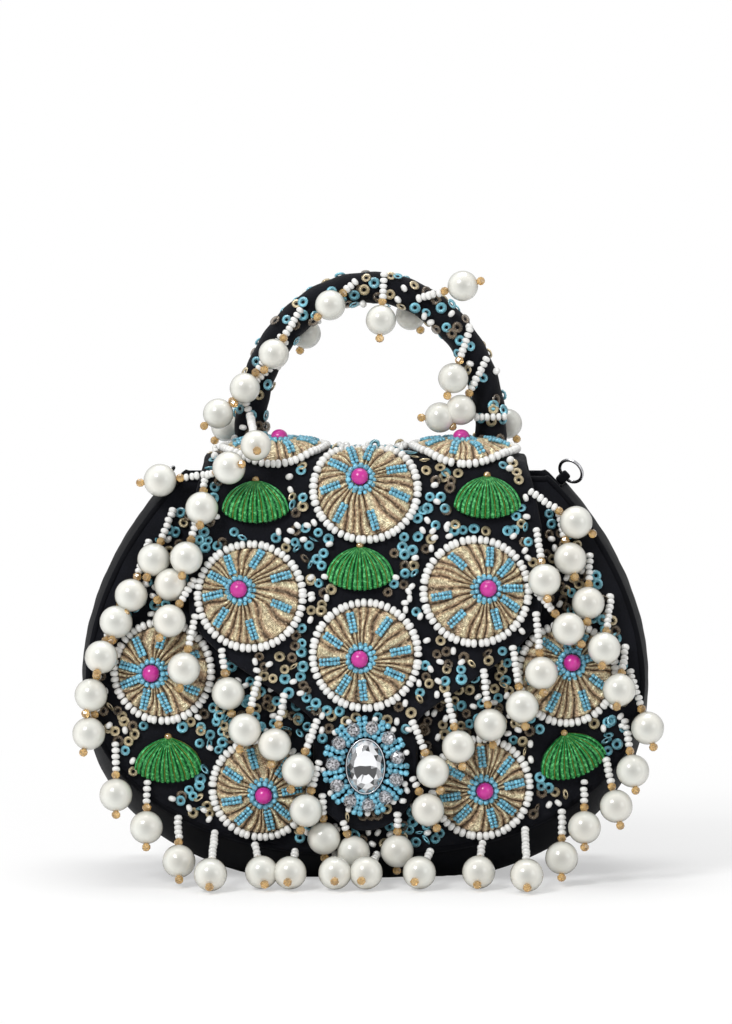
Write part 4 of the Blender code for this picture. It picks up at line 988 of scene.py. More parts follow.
class BAG_OT_flap_cloth(bpy.types.Operator):
    """Make the flap, its lining and the cord that binds its edge"""

    bl_idname = "beaded_bag.flap_cloth"
    bl_label = "Flap"

    def execute(self, context):
        outer, inner = flap_wall(0.0, FLAP_WALL, 1.0, 61, 180, PUCKER)
        shape = walled(outer, inner)
        piece = add_piece("flap_velvet", shape, "velvet", "lid", "flap")
        outer, inner = flap_wall(
            FLAP_WALL + SEAM_CLEAR, FLAP_LINING_WALL, FLAP_LINING_SHARE, 41, 150, LINING_PUCKER
        )
        shape = walled(outer, inner)
        piece = add_piece(
            "flap_lining_cloth", shape, "lining", "lid", "flap_lining"
        )

        down = np.linspace(FLAP_TOP_Z - FLAP_CORNER_DROP, TONGUE_ROUND_Z, 160)[:-1]
        top_y = np.linspace(HINGE_Y - FLAP_CORNER_RUN, -HINGE_Y + FLAP_CORNER_RUN / 2, 30)
        run = np.append(top_run(top_y), front_run(np.append(down, tongue_round(60))))
        half = flap_half(np.minimum(flap_face(0.0, run)[:, 2], FLAP_TOP_Z)) - FLAP_BINDING_INSET
        half = half.clip(0)
        path, axes = seated(
            flap_face, np.append(-half[:-1], half[::-1]), np.append(run[:-1], run[::-1]),
            -BINDING_SINK,
        )
        shape = tube(path, FLAP_BINDING_RADIUS, side=axes[..., 2])
        add_piece("flap_binding", shape, "velvet", "lid")
        return {"FINISHED"}


class BAG_OT_handle_cloth(bpy.types.Operator):
    """Make the handle's velvet tube"""

    bl_idname = "beaded_bag.handle_cloth"
    bl_label = "Handle"

    def execute(self, context):
        place, _ = along(HANDLE_LINE, np.linspace(0, 1, 240))
        path = np.insert(place, 1, HANDLE_Y, axis=1)
        soft = 1 - 0.03 * (1 + np.sin(np.linspace(0, 95, 240)))
        shape = tube(path, HANDLE_RADIUS * soft, 28)
        add_piece("handle_velvet", shape, "velvet", "lid", "handle")
        return {"FINISHED"}


def disc_height(share):
    """A padded disc's height by share of its radius: level in the middle, falling at its edge."""
    return MEDALLION_PAD * (1 - 0.55 * share**4) - 0.0006 * (1 - share) ** 2


def rays(turn, middle, radius):
    """Directions from a point inside a circle, and how far each runs to the circle."""
    way = np.stack((np.cos(turn), np.sin(turn)), -1)
    dot = way @ middle
    return way, np.sqrt(dot**2 + radius**2 - middle @ middle) - dot


def medallion_parts(face, a, b, aside, up, size, seed, settings):
    """A medallion's thread pad, cord, rim beads, ring and dashes of blue beads, and button.

    Ribs run from the button's middle to the rim. Along a rib the height is the padded disc's and
    the rib's own, |sin|^0.75 of its phase, which swirls a little with distance and is unevenly
    spaced.
    """
    random = np.random.default_rng(seed)
    ribs, bead, button = settings.thread_ribs, settings.seed_radius, settings.button_radius
    inner = size - PAD_INSET
    middle = np.array([aside, up])
    turn = circle(14 * ribs)
    way, reach = rays(turn, middle, inner)
    share = np.linspace(0.06, 1, 26)[:, None]
    spot = middle + way * (share * reach)[..., None]
    waves = random.uniform(0, 2 * math.pi, 3)
    uneven = turn + 0.10 * np.sin(3 * turn + waves[0]) + 0.05 * np.sin(7 * turn + waves[1])
    swirl = np.sin(share * 2.6 + waves[2]) * (1.5 + 1.2 * np.sin(turn + waves[1]))
    wander = 0.35 * np.sin(share * 9 + 2 * np.sin(turn * 4 + waves[0]))
    phase = ribs / 2 * uneven + swirl + wander
    fold = np.abs(np.sin(phase)) ** 0.75
    rib = MEDALLION_RIB * 2.9 * (fold - 0.7) * np.clip(share * 4, 0, 1)
    edge = np.sqrt(np.clip(1 - ((share - 0.93) / 0.07).clip(0) ** 2, 0, 1))
    disc = disc_height(np.linalg.norm(spot, axis=-1) / inner)
    x, y = a + spot[..., 0], b + spot[..., 1]
    upper = raised(face, x, y, (disc + rib) * (0.25 + 0.75 * edge) + MOTIF_SEAT)
    rings = np.concatenate((upper, raised(face, x[-1:], y[-1:], UNDERSIDE)))
    top = MOTIF_SEAT + disc_height(0.2)
    centre = raised(face, a + aside, b + up, top)
    pad = capped(rings, centre, raised(face, a, b, UNDERSIDE))
    wound = share * reach * 1000 + 0.9 * np.abs(np.sin(phase))

    around, ring = circle(90), inner + 0.0002
    place, axes = seated(
        face, a + ring * np.cos(around), b + ring * np.sin(around), MOTIF_SEAT + 0.0008
    )
    cord = tube(place, CORD_RADIUS, 6, True, axes[..., 2])

    def laid(radius, number, origin, shape, size, height):
        """A ring of beads, each turned along it."""
        spread = circle(number) + random.normal(0, 0.012, number)
        across, along_up = origin[0] + radius * np.cos(spread), origin[1] + radius * np.sin(spread)
        place = raised(face, a + across, b + along_up, height)
        tangent = np.roll(place, -1, 0) - np.roll(place, 1, 0)
        size = size * random.uniform(0.94, 1.05, (number, 1))
        return stamped(shape, place, pointed(tangent), size)

    rim = size - bead
    number = int(round(2 * math.pi * rim / (RIM_STEP * bead)))
    white = laid(rim, number, (0, 0), SEED, bead * BEAD_SWELL, MOTIF_SEAT + bead * 0.9)
    origins = (middle, middle - unit(middle) * 0.0009)
    rings = zip(HALO_OFFSETS, HALO_NUMBERS, origins, HALO_BEADS, (0.0006, 0.0003))
    halo = [laid(button + wide, number, origin, TINY, size, top + height)
            for wide, number, origin, size, height in rings]

    turns = circle(DASHES) + random.uniform(0, 0.6)
    way, reach = rays(turns + random.normal(0, 0.07, DASHES), middle, inner)
    start = reach * random.uniform(0.9, 0.95, DASHES) - 0.0004
    run = start[:, None] - np.arange(DASH_BEADS) * DASH_STEP
    offset = np.array([-DASH_ASIDE, DASH_ASIDE])[:, None]
    square = np.stack((-way[:, 1], way[:, 0]), -1)
    dash = middle + run[..., None, None] * way[:, None, None] + offset * square[:, None, None]
    dash = dash.reshape(-1, 2)
    height = disc_height(np.linalg.norm(dash, axis=-1) / inner) + MOTIF_SEAT + MEDALLION_RIB * 1.3
    place, axes = seated(face, a + dash[:, 0], b + dash[:, 1], height)
    heading = (axes[..., :2] * np.repeat(way, 2 * DASH_BEADS, axis=0)[:, None]).sum(-1)
    sizes = DASH_BEAD * random.uniform(0.9, 1.1, (len(dash), 1))
    blue = stamped(TINY, place, pointed(heading), sizes)

    place, axes = seated(
        face, np.array([a + aside]), np.array([b + up]), MOTIF_SEAT + MEDALLION_PAD + 0.0009
    )
    middle_bead = stamped(round_shape(20, 14, 0.9), place, axes, button)
    return [pad, cord, white, *halo, blue, middle_bead], (("fold", fold), ("wound", wound))


def motif_runs(plan, run, size):
    """A plan's motifs, each with its x, its run along a face, a size and whatever else it has."""
    return [(a, run(b), size, *rest) for a, b, *rest in plan]


class BAG_OT_medallions(bpy.types.Operator):
    """Make the ten medallions of gold thread, with their beads"""

    bl_idname = "beaded_bag.medallions"
    bl_label = "Medallions"

    def execute(self, context):
        plans = (
            (flap_face, FLAP_MEDALLIONS, front_run, MEDALLION_RADIUS, "lid"),
            (front_face, PANEL_MEDALLIONS, float, PANEL_MEDALLION_RADIUS, "bag"),
            (flap_face, TOP_MEDALLIONS, top_run, MEDALLION_RADIUS, "lid"),
        )
        number = 0
        for face, plan, run, size, body in plans:
            for a, b, _, aside, up in motif_runs(plan, run, size):
                number += 1
                parts, marks = medallion_parts(
                    face, a, b, aside, up, size, 40 + number, context.scene.beaded_bag
                )
                add_mixed(
                    f"medallion_{number}_embroidery", parts, "gold cord white blue magenta", body,
                    f"medallion_{number}", marks=marks,
                    numbers=(0, 1, 2, 3, 3, 3, 4),
                )
        return {"FINISHED"}


def shell_part(face, a, b, tilt, ribs):
    """A scallop of thread: ribs fan out from its apex over a dome that dies away at its lip.

    A point is a share s of the reach at an angle, which for the rib at p from -1 to 1 is
    (73 - 24 s^2) p degrees, so the outer ribs curve. The reach is the height times
    1 + 0.09 p^2 - 0.10 p^8, with a scallop at each rib, and the height above the cloth is the
    dome's, a sine of the share that dies away to the sides, and the rib's |cos|^0.6.
    """
    place = np.linspace(-1, 1, 12 * ribs + 1)
    crest = np.abs(np.cos(place * ribs * math.pi / 2))
    fold = crest**0.6
    share = np.linspace(0.03, 1, 40)[:, None]
    angle = np.radians(73 - 24 * share**2) * place
    reach = SHELL_HEIGHT * (1 + 0.09 * place**2 - 0.10 * place**8) + SHELL_RIB * (fold - 0.7) * 0.6
    right = share * reach * np.sin(angle)
    drop = share * reach * np.cos(angle) - SHELL_HEIGHT / 2
    x = a + right * math.cos(tilt) - drop * math.sin(tilt)
    y = b - right * math.sin(tilt) - drop * math.cos(tilt)
    dome = np.sin(share**0.8 * math.pi * 0.9) * (1 - 0.75 * np.abs(place) ** 2.5)
    rib = SHELL_RIB * 1.2 * (fold - 0.35) * np.clip(share * 3, 0, 1)
    lift = np.maximum(MOTIF_SEAT + SHELL_DOME * 1.35 * dome + 0.0004 + rib, 0.0006)
    odd = np.round((place + 1) * ribs / 2) % 2 == 1
    marks = (("fold", fold), ("cord", 0.8 * ((crest < 0.24) & odd)),
             ("across", share * SHELL_HEIGHT * 100))
    marks = [(label, np.broadcast_to(values, x.shape)) for label, values in marks]
    return walled(raised(face, x, y, lift), raised(face, x, y, 0.0002)), marks


class BAG_OT_shells(bpy.types.Operator):
    """Make the five scallop shells of green thread"""

    bl_idname = "beaded_bag.shells"
    bl_label = "Shells"

    def execute(self, context):
        plan = [(flap_face, a, front_run(b), tilt, "lid") for a, b, tilt in FLAP_SHELLS]
        plan += [(front_face, a, b, tilt, "bag") for a, b, tilt in PANEL_SHELLS]
        up = SHELL_HEIGHT / 2
        for number, (face, a, b, tilt, body) in enumerate(plan, 1):
            lean = math.radians(tilt)
            floss, marks = shell_part(face, a, b, lean, context.scene.beaded_bag.shell_ribs)
            x, y = np.array([[a + up * math.sin(lean)], [b + up * math.cos(lean)]])
            place, axes = seated(face, x, y, 0.0014)
            add_mixed(
                f"shell_{number}_floss", [floss, stamped(CUT_BEAD, place, axes, KNOT_RADIUS)],
                "green amber", body, f"shell_{number}", sharp=1, marks=marks,
            )
        return {"FINISHED"}


def oval_band(run, half_x, half_z, profile, sides):
    """A closed band of ovals on the flap, each a share of the full size at its own height."""
    share, lift = np.array(profile).T[..., None]
    angle = circle(sides)
    x, rise = half_x * share * np.sin(angle), half_z * share * np.cos(angle)
    return looped(raised(flap_face, x, run - rise, lift))


class BAG_OT_brooch(bpy.types.Operator):
    """Make the cut stone, its foil cup and the beadwork round it"""

    bl_idname = "beaded_bag.brooch"
    bl_label = "Stone and beadwork"

    def execute(self, context):
        run = float(front_run(BROOCH_Z))
        self.make_stone(run)
        profile = ((0.2, 0.0003), (1.03, 0.0005), (1.05, 0.0035), (1.0, 0.0036), (0.99, 0.0025),
                   (0.3, 0.0009))
        cup = oval_band(run, CRYSTAL_HALF_WIDTH, CRYSTAL_HALF_HEIGHT, profile, 48)
        add_piece("stone_cup", cup, "foil", "lid")
        self.make_beadwork(run)
        return {"FINISHED"}

    @staticmethod
    def make_stone(run, sides=16):
        """Rings of points on ovals, turned half a step from one to the next, joined by triangles.

        The three innermost rings lie in the table's plane, where the foil facets show through as
        painted reflections.
        """
        random = np.random.default_rng(5)
        share, lift, shift = np.array((
            (0.30, STONE_TABLE, 0.5), (0.62, STONE_TABLE, 0.0), (0.82, 0.0047, 0.5),
            (0.985, 0.0032, 0.0),
            (0.985, 0.0026, 0.0), (0.80, 0.0016, 0.5), (0.35, 0.0006, 0.0),
        )).T[..., None]
        angle = (np.arange(sides) + shift) * 2 * math.pi / sides
        x = CRYSTAL_HALF_WIDTH * share * np.sin(angle)
        fall = -CRYSTAL_HALF_HEIGHT * share * np.cos(angle)
        rings = raised(flap_face, x, run + fall, lift + MOTIF_SEAT)
        top = raised(flap_face, 0.0, run + 0.0004, MOTIF_SEAT + STONE_TABLE)
        low = raised(flap_face, 0.0, run, MOTIF_SEAT + STONE_BASE)
        points = np.vstack((rings.reshape(-1, 3), top, low))
        first = np.arange(sides)
        after = (first + 1) % sides
        count = rings.size // 3
        faces = [(np.full(sides, count), first, after)]
        for step in range(len(rings) - 1):
            a, b = step * sides, (step + 1) * sides
            if shift[step] > shift[step + 1]:
                faces += [(a + first, b + after, a + after), (a + first, b + first, b + after)]
            else:
                faces += [(a + first, b + first, a + after), (a + after, b + first, b + after)]
        a = count - sides
        faces.append((np.full(sides, count + 1), a + after, a + first))
        triangles = np.vstack([np.column_stack(face) for face in faces])
        height = points[triangles].mean(1)[:, 2] - top[2]
        # painted reflections: table facets light above and dark below, the rest light, grey or dark
        # by chance
        painted_reflection_index = random.choice(3, len(triangles), p=(0.55, 0.30, 0.15))
        number = np.arange(len(triangles))
        inner, outer = number < sides, (number >= sides) & (number < 3 * sides)
        painted_reflection_index = np.where((inner | outer) & (height > -0.0004), 0, painted_reflection_index)
        painted_reflection_index = np.where(inner & (height < -0.0002), 2, painted_reflection_index)
        lower = outer & (height < -0.0004) & (height > -0.0034)
        painted_reflection_index = np.where(lower, np.where(random.uniform(size=len(painted_reflection_index)) < 0.7, 2, 1), painted_reflection_index)
        add_piece(
            "cut_stone", (points, outward(points, [triangles])), "stone_light stone stone_dark",
            "lid", "crystal", False, painted_reflection_index,
        )

    @staticmethod
    def make_beadwork(run, number=11):
        """Cut beads on an oval, rows of blue beads between them and white beads at their tips."""
        random = np.random.default_rng(7)
        turn = (np.arange(number) + 0.35) * 2 * math.pi / number

        def oval(angle, half_x, half_z, lift, shape, size):
            """Beads at angles of an oval, each turned and leant at random."""
            x, rise = half_x * np.sin(angle), half_z * np.cos(angle)
            place, axes = seated(flap_face, x, run + rise, lift)
            axes = turned(axes, random.uniform(0, 6, len(angle)))
            axes = tilted(axes, *random.uniform(-0.6, 0.6, (2, len(angle))))
            return stamped(shape, place, axes, size)

        parts = [oval(turn, 0.0113, 0.0135, 0.0027, CUT_BEAD, 0.0027)]
        for out, side in np.ndindex(4, 2):
            half_x = 0.0088 + 0.0018 * out
            lean = (side - 0.5) * 0.0019 / half_x + random.normal(0, 0.02, number)
            angle, lift = turn + math.pi / number + lean, 0.0026 + 0.0003 * (out == 1)
            parts.append(oval(angle, half_x, half_x + 0.0023, lift, TINY, 0.00118))
        parts.append(oval(circle(30), 0.0079, 0.0106, 0.0016, TINY, 0.00085))
        tips = turn + random.normal(0, 0.08, number)
        parts.append(oval(tips, 0.0148, 0.0165, 0.0017, SEED, 0.00115))
        profile = ((0.5, 0.0003), (1.0, 0.0003), (1.0, 0.0012), (0.5, 0.0015))
        parts.append(oval_band(run, 0.0140, 0.0158, profile, 60))
        add_mixed(
            "brooch_beadwork", parts, "grey blue white velvet", "lid", "brooch",
            sharp=0, numbers=(0, *[1] * 9, 2, 3),
        )


def scattered(low, high, pitch, seed):
    """Points of a hexagonal grid over a rectangle, each moved a little at random."""
    random = np.random.default_rng(seed)
    a, b = np.meshgrid(
        np.arange(low[0], high[0], pitch), np.arange(low[1], high[1], pitch * 0.87), indexing="ij"
    )
    a = a + pitch / 2 * (np.arange(a.shape[1]) % 2)
    spots = np.stack((a.ravel(), b.ravel()), -1)
    return spots + random.uniform(-0.38, 0.38, spots.shape) * pitch


def away_from(spots, motifs):
    """Which spots lie outside every circle of a list of x, y and radius."""
    x, y, radius = np.array([motif[:3] for motif in motifs]).T
    return (np.hypot(spots[:, :1] - x, spots[:, 1:] - y) > radius + SPANGLE_MARGIN).all(1)


def spangle_sets(face, spots, seed, settings, edgewise):
    """Sequins and single beads at spots of a face: turquoise, cream, bronze and white by chance.

    edgewise is the share of them that stand on their edges.
    """
    random = np.random.default_rng(seed)
    count = len(spots)
    place, axes = seated(face, spots[:, 0], spots[:, 1])
    kind = random.choice(5, count, p=SPANGLE_SHARES)
    axes = turned(axes, random.uniform(0, 2 * math.pi, count))
    lean = random.normal(0, 0.16, (2, count))
    steep = random.uniform(size=count) < edgewise
    lean = np.where(steep, random.uniform(0.9, 1.8, count) * np.sign(lean), lean)
    leaning = tilted(axes, *lean)
    rise = np.where(steep, 0.0012, 0.00045) + random.uniform(0, 0.0004, count)
    place, bead = place + axes[..., 2] * rise[:, None], settings.seed_radius
    sets = []
    for mine in (kind == number for number in range(3)):
        size = settings.sequin_radius * random.uniform(0.85, 1.05, (mine.sum(), 1))
        sets.append(stamped(SEQUIN, place[mine], leaning[mine], size))
    mine = kind == 3
    place = place[mine] + axes[mine, :, 2] * (bead * 0.8 - rise[mine, None])
    sets.append(stamped(SEED, place, pointed(axes[mine, :, 0]), bead))
    return sets


class BAG_OT_spangles(bpy.types.Operator):
    """Scatter sequins and single beads over the flap, the front panel and the handle"""

    bl_idname = "beaded_bag.spangles"
    bl_label = "Sequins"

    def execute(self, context):
        pitch = context.scene.beaded_bag.sequin_pitch
        shell = SHELL_HALF_WIDTH * 0.9

        spots = scattered((-0.07, 0.004), (0.07, FLAP_RUN[-1] - 0.006), pitch, 11)
        z = flap_face(0.0, spots[:, 1])[:, 2]
        inside = np.abs(spots[:, 0]) < flap_half(np.minimum(z, FLAP_TOP_Z)) - 0.0022
        motifs = motif_runs(FLAP_MEDALLIONS, front_run, MEDALLION_RADIUS)
        motifs += motif_runs(TOP_MEDALLIONS, top_run, MEDALLION_RADIUS)
        motifs += motif_runs(FLAP_SHELLS, front_run, shell)
        motifs += motif_runs([(0, BROOCH_Z)], front_run, 0.0153)
        feet = [(HANDLE_X + side * HANDLE_HALF_SPAN, HANDLE_Y) for side in (-1, 1)]
        motifs += motif_runs(feet, top_run, 0.0075)
        self.sew(context, "flap", flap_face, spots[inside & away_from(spots, motifs)], 12, "lid")

        spots = scattered((-0.1, 0.006), (0.1, RIM_Z - 0.004), pitch, 13)
        right, up = spots[:, 0], spots[:, 1] - PANEL_MID_Z
        reach = np.interp(np.arctan2(right, -up), SEAM_ANGLES, SEAM_REACHES)
        inside = np.hypot(right, up) < reach - np.where(up > 0, 0.0075, 0.0045)
        bare = np.abs(right) > flap_half(spots[:, 1]) + 0.0015
        bare |= spots[:, 1] < TONGUE_END_Z - 0.001
        motifs = motif_runs(PANEL_MEDALLIONS, float, PANEL_MEDALLION_RADIUS)
        motifs += motif_runs(PANEL_SHELLS, float, shell)
        spots = spots[inside & bare & away_from(spots, motifs)]
        self.sew(context, "panel", front_face, spots, 14, "bag")

        girth = 2 * math.pi * HANDLE_RADIUS
        run = np.linalg.norm(np.diff(HANDLE_LINE, axis=0), axis=1).sum()
        flat = scattered((0, 0.004), (girth - pitch * 0.6, run - 0.004), pitch * 1.3, 15)
        spots = flat / (HANDLE_RADIUS, run)
        _, axes = seated(handle_face, *spots.T)
        spots = spots[np.abs(axes[:, 1, 2]) > 0.5]
        self.sew(context, "handle", handle_face, spots, 16, "lid", 0)
        return {"FINISHED"}

    @staticmethod
    def sew(context, name, face, spots, seed, body, edgewise=EDGEWISE_SHARE):
        """One piece of sequins and beads at spots of a face."""
        sets = spangle_sets(face, spots, seed, context.scene.beaded_bag, edgewise)
        add_mixed(f"{name}_spangles", sets, "turquoise cream bronze white", body)


def cover(x, z):
    """Height above the front panel of whatever motif or flap lies under each pearl."""
    near = PEARL_RADIUS * 0.7
    pad = MEDALLION_PAD + MEDALLION_RIB + MOTIF_SEAT
    dome = SHELL_DOME + SHELL_RIB + MOTIF_SEAT
    plans = (
        (PANEL_MEDALLIONS, PANEL_MEDALLION_RADIUS, pad), (PANEL_SHELLS, SHELL_HALF_WIDTH, dome),
        (FLAP_MEDALLIONS, MEDALLION_RADIUS, FLAP_STAND_OFF + pad),
        (FLAP_SHELLS, SHELL_HALF_WIDTH, FLAP_STAND_OFF + dome),
    )
    under = [(a, b, reach, rise) for plan, reach, rise in plans for a, b, *_ in plan]
    a, b, reach, rise = np.array(under).T
    close = np.hypot(x[:, None] - a, z[:, None] - b) < reach + near
    over = (z > TONGUE_END_Z) & (np.abs(x) < flap_half(z) + near)
    return np.maximum(np.where(close, rise, 0).max(1), np.where(over, FLAP_STAND_OFF, 0))


def hung(curve, plan, root_lift, side, seam=True):
    """Roots and pearls of drops that hang from an edge over a panel, splayed out at the floor."""
    share, run, lean = np.array(plan, float).T
    edge, normal = along(curve, share)
    inset = np.where(edge[:, 1] < LOW_SEAM_REACH, LOW_SEAM_INSET, SEAM_INSET) * seam
    x, z = (edge - normal * inset[:, None]).T
    root_y = panel_depth(x, z) + root_lift
    run, lean = run / 1000, np.radians(lean)
    pearl_x = x + run * np.sin(lean)
    pearl_z = np.maximum(z - run * np.cos(lean), PEARL_RADIUS + FLOOR_CLEAR)
    lift = PEARL_RADIUS + PEARL_CLEAR + (cover(pearl_x, pearl_z) if side < 0 else 0)
    depth, down = panel_depth(pearl_x, pearl_z) + lift, z - pearl_z
    forward = np.sqrt(np.clip(STRAND_LENGTH**2 - down**2 - (pearl_x - x) ** 2, 0, None))
    depth = np.where(pearl_z < FLOOR_REACH, np.maximum(depth, root_y + forward), depth)
    steep = (pearl_z - END_BEAD_RADIUS - FLOOR_CLEAR) / (PEARL_RADIUS + 2 * END_BEAD_RADIUS)
    splay = down * np.sqrt(np.clip(1 / np.minimum(steep, 1) ** 2 - 1, 0, None))
    depth = np.where(steep < 1, np.maximum(depth, root_y + splay), depth)
    return np.stack((x, side * root_y, z), -1), np.stack((pearl_x, side * depth, pearl_z), -1)


def handle_drops():
    """Roots and pearls of the handle's drops."""
    share, run, lean, side, reach = np.array(HANDLE_DROPS, float).T
    point, _ = along(HANDLE_LINE, share)
    root_y = HANDLE_Y + side * (HANDLE_RADIUS - ROOT_SINK)
    root = np.stack((point[:, 0], root_y, point[:, 1]), -1)
    away = HANDLE_RADIUS + HANDLE_PEARL_RADIUS - ROOT_SINK + reach / 1000
    lean = np.radians(lean)
    x = point[:, 0] + run / 1000 * np.sin(lean)
    z = point[:, 1] - run / 1000 * np.cos(lean)
    return root, np.stack((x, HANDLE_Y + side * away, z), -1)


def sewn_seeds(count, bead):
    """Seed beads that carry the handle's strings on past their roots, along the handle's front.

    A bead at a distance d up the string lies off the middle line by d times the sine between
    the two, and stands out from the tube's middle by the other side of that right triangle.
    """
    share, _, lean, side, _ = np.array(HANDLE_DROPS, float).T
    point, normal = along(HANDLE_LINE, share)
    lean = np.radians(lean)
    way = np.stack((-np.sin(lean), np.cos(lean)), -1)
    way = np.where(way[:, 1:] < 0, -way, way)
    step = (np.arange(count) + 0.45) * SEWN_STEP * bead
    spot = point[:, None] + way[:, None] * step[None, :, None]
    off = np.abs((way * normal).sum(-1))[:, None] * step[None]
    fits = off < HANDLE_RADIUS * 0.93
    out = np.sqrt(np.clip((HANDLE_RADIUS + bead * 0.8) ** 2 - off**2, 0, None))
    y = HANDLE_Y + side[:, None] * out
    made = np.stack((spot[..., 0], y, spot[..., 1]), -1)
    slope = np.broadcast_to(np.stack((way[:, 0], 0 * side, way[:, 1]), -1)[:, None], made.shape)
    return stamped(SEED, made[fits], pointed(slope[fits]), bead)


def drop_sets(root, pearl, radius, lift, settings, seed):
    """Pearls, seed beads and cut beads of drops: each a straight string that starts on the cloth.

    A string of n beads fills the way from its root, lifted in depth, to the cut bead on its pearl.
    """
    random = np.random.default_rng(seed)
    out = np.stack((0 * lift, lift, 0 * lift), -1)
    way = root + out - pearl
    length = np.linalg.norm(way, axis=1)
    up = way / length[:, None]
    cut = END_BEAD_RADIUS
    top = radius + 2 * cut - STRING_OVERLAP
    room = np.maximum(length - top, 0.002)
    count = np.maximum(np.round(room / (STRING_STEP * settings.seed_radius)).astype(int), 1)
    owner = np.repeat(np.arange(len(root)), count)
    first = np.repeat(np.cumsum(count) - count, count)
    place = (np.arange(len(owner)) - first + 0.5) / count[owner]
    beads_at = pearl[owner] + up[owner] * (top + place * room[owner])[:, None]
    beads_at = beads_at + unit(out[owner]) * (np.sin(place * math.pi) * STRING_BOW)[:, None]
    wobble = random.normal(0, STRING_WOBBLE, beads_at.shape)
    size = settings.seed_radius * random.uniform(0.93, 1.06, (len(owner), 1))
    seeds = stamped(SEED, beads_at + wobble, pointed(up[owner]), size)
    ends = np.vstack((pearl + up * (radius + cut * 0.85), pearl - up * (radius + cut * 0.8)))
    spun = turned(pointed(np.vstack((up, up))), random.uniform(0, 6, len(ends)))
    cuts = stamped(CUT_BEAD, ends, spun, cut)
    pearls = stamped(PEARL, pearl, turned(pointed(up), random.uniform(0, 6, len(pearl))), radius)
    return [pearls, seeds, cuts]


class BAG_OT_pearl_drops(bpy.types.Operator):
    """String the pearl drops of the flap, the two panels and the handle"""

    bl_idname = "beaded_bag.pearl_drops"
    bl_label = "Pearl drops"

    def execute(self, context):
        settings = context.scene.beaded_bag
        bead = settings.seed_radius
        z = np.linspace(FLAP_TOP_Z - FLAP_CORNER_DROP / 2, TONGUE_END_Z, 240)
        left = np.column_stack((-(flap_half(z) - EDGE_INSET).clip(0), z))
        edge = np.vstack((left, left[::-1] * (-1, 1)))
        flap = hung(edge, FLAP_DROPS, FLAP_STAND_OFF - FLAP_WALL / 2, -1, seam=False)
        front = hung(SEAM, FRONT_DROPS, -ROOT_SINK, -1)
        back = hung(SEAM, BACK_DROPS, -ROOT_SINK, 1)
        handle = handle_drops()
        outward_side = np.sign(handle[0][:, 1] - HANDLE_Y)
        rise = ROOT_SINK + bead
        for number, (name, drops, radius, lift, body) in enumerate((
            ("flap", flap, PEARL_RADIUS, -FLAP_WALL / 2 - bead, "lid"),
            ("front", front, PEARL_RADIUS, -rise, "bag"),
            ("back", back, PEARL_RADIUS, rise, "bag"),
            ("handle", handle, HANDLE_PEARL_RADIUS, outward_side * rise, "lid"),
        )):
            lift = np.broadcast_to(lift, len(drops[0]))
            sets = drop_sets(*drops, radius, lift, settings, 21 + number)
            if name == "handle":
                sets.append(sewn_seeds(3, bead))
            add_mixed(f"{name}_pearl_drops", sets, "pearl white amber", body,
                      sharp=2, numbers=(0, 1, 2, 1)[:len(sets)])
        return {"FINISHED"}


def gusset_face(share, across, inward, folded=False):
    """The gusset's outer face, or one set in from it: the seam pushed out by its sag, 1 - t^2.

    Folded, it also has soft folds that run round the bag at its sides.
    """
    point, normal = along(SEAM, share)
    low = np.maximum(0.0, -normal[..., 1])
    out = (SIDE_SWELL + (BASE_SAG - SIDE_SWELL) * low**2) * (1 - across**2)
    if folded:
        soft = np.clip((point[..., 1] - 0.02) / 0.03, 0, 1) * (1 - across**2)
        folds = np.sin(across * 7 + 9 * np.sin(share * 21)) + 0.6 * np.sin(share * 330 + across * 5)
        out = out - GUSSET_FOLD * soft * (1 + folds / 1.6)
    depth = seam_depth(point[..., 1]) - PANEL_WALL - SEAM_CLEAR
    z = np.maximum(0.0, point[..., 1] + normal[..., 1] * out) - normal[..., 1] * inward
    x = point[..., 0] + normal[..., 0] * (out - inward)
    return np.stack((x, across * depth, z), -1)


def gusset_start():
    """The share of the seam at which the gusset's middle reaches its top level."""
    shares = np.linspace(0, 0.2, 801)
    return shares[np.argmax(gusset_face(shares, 0.0, 0.0)[:, 2] < GUSSET_TOP_Z)]


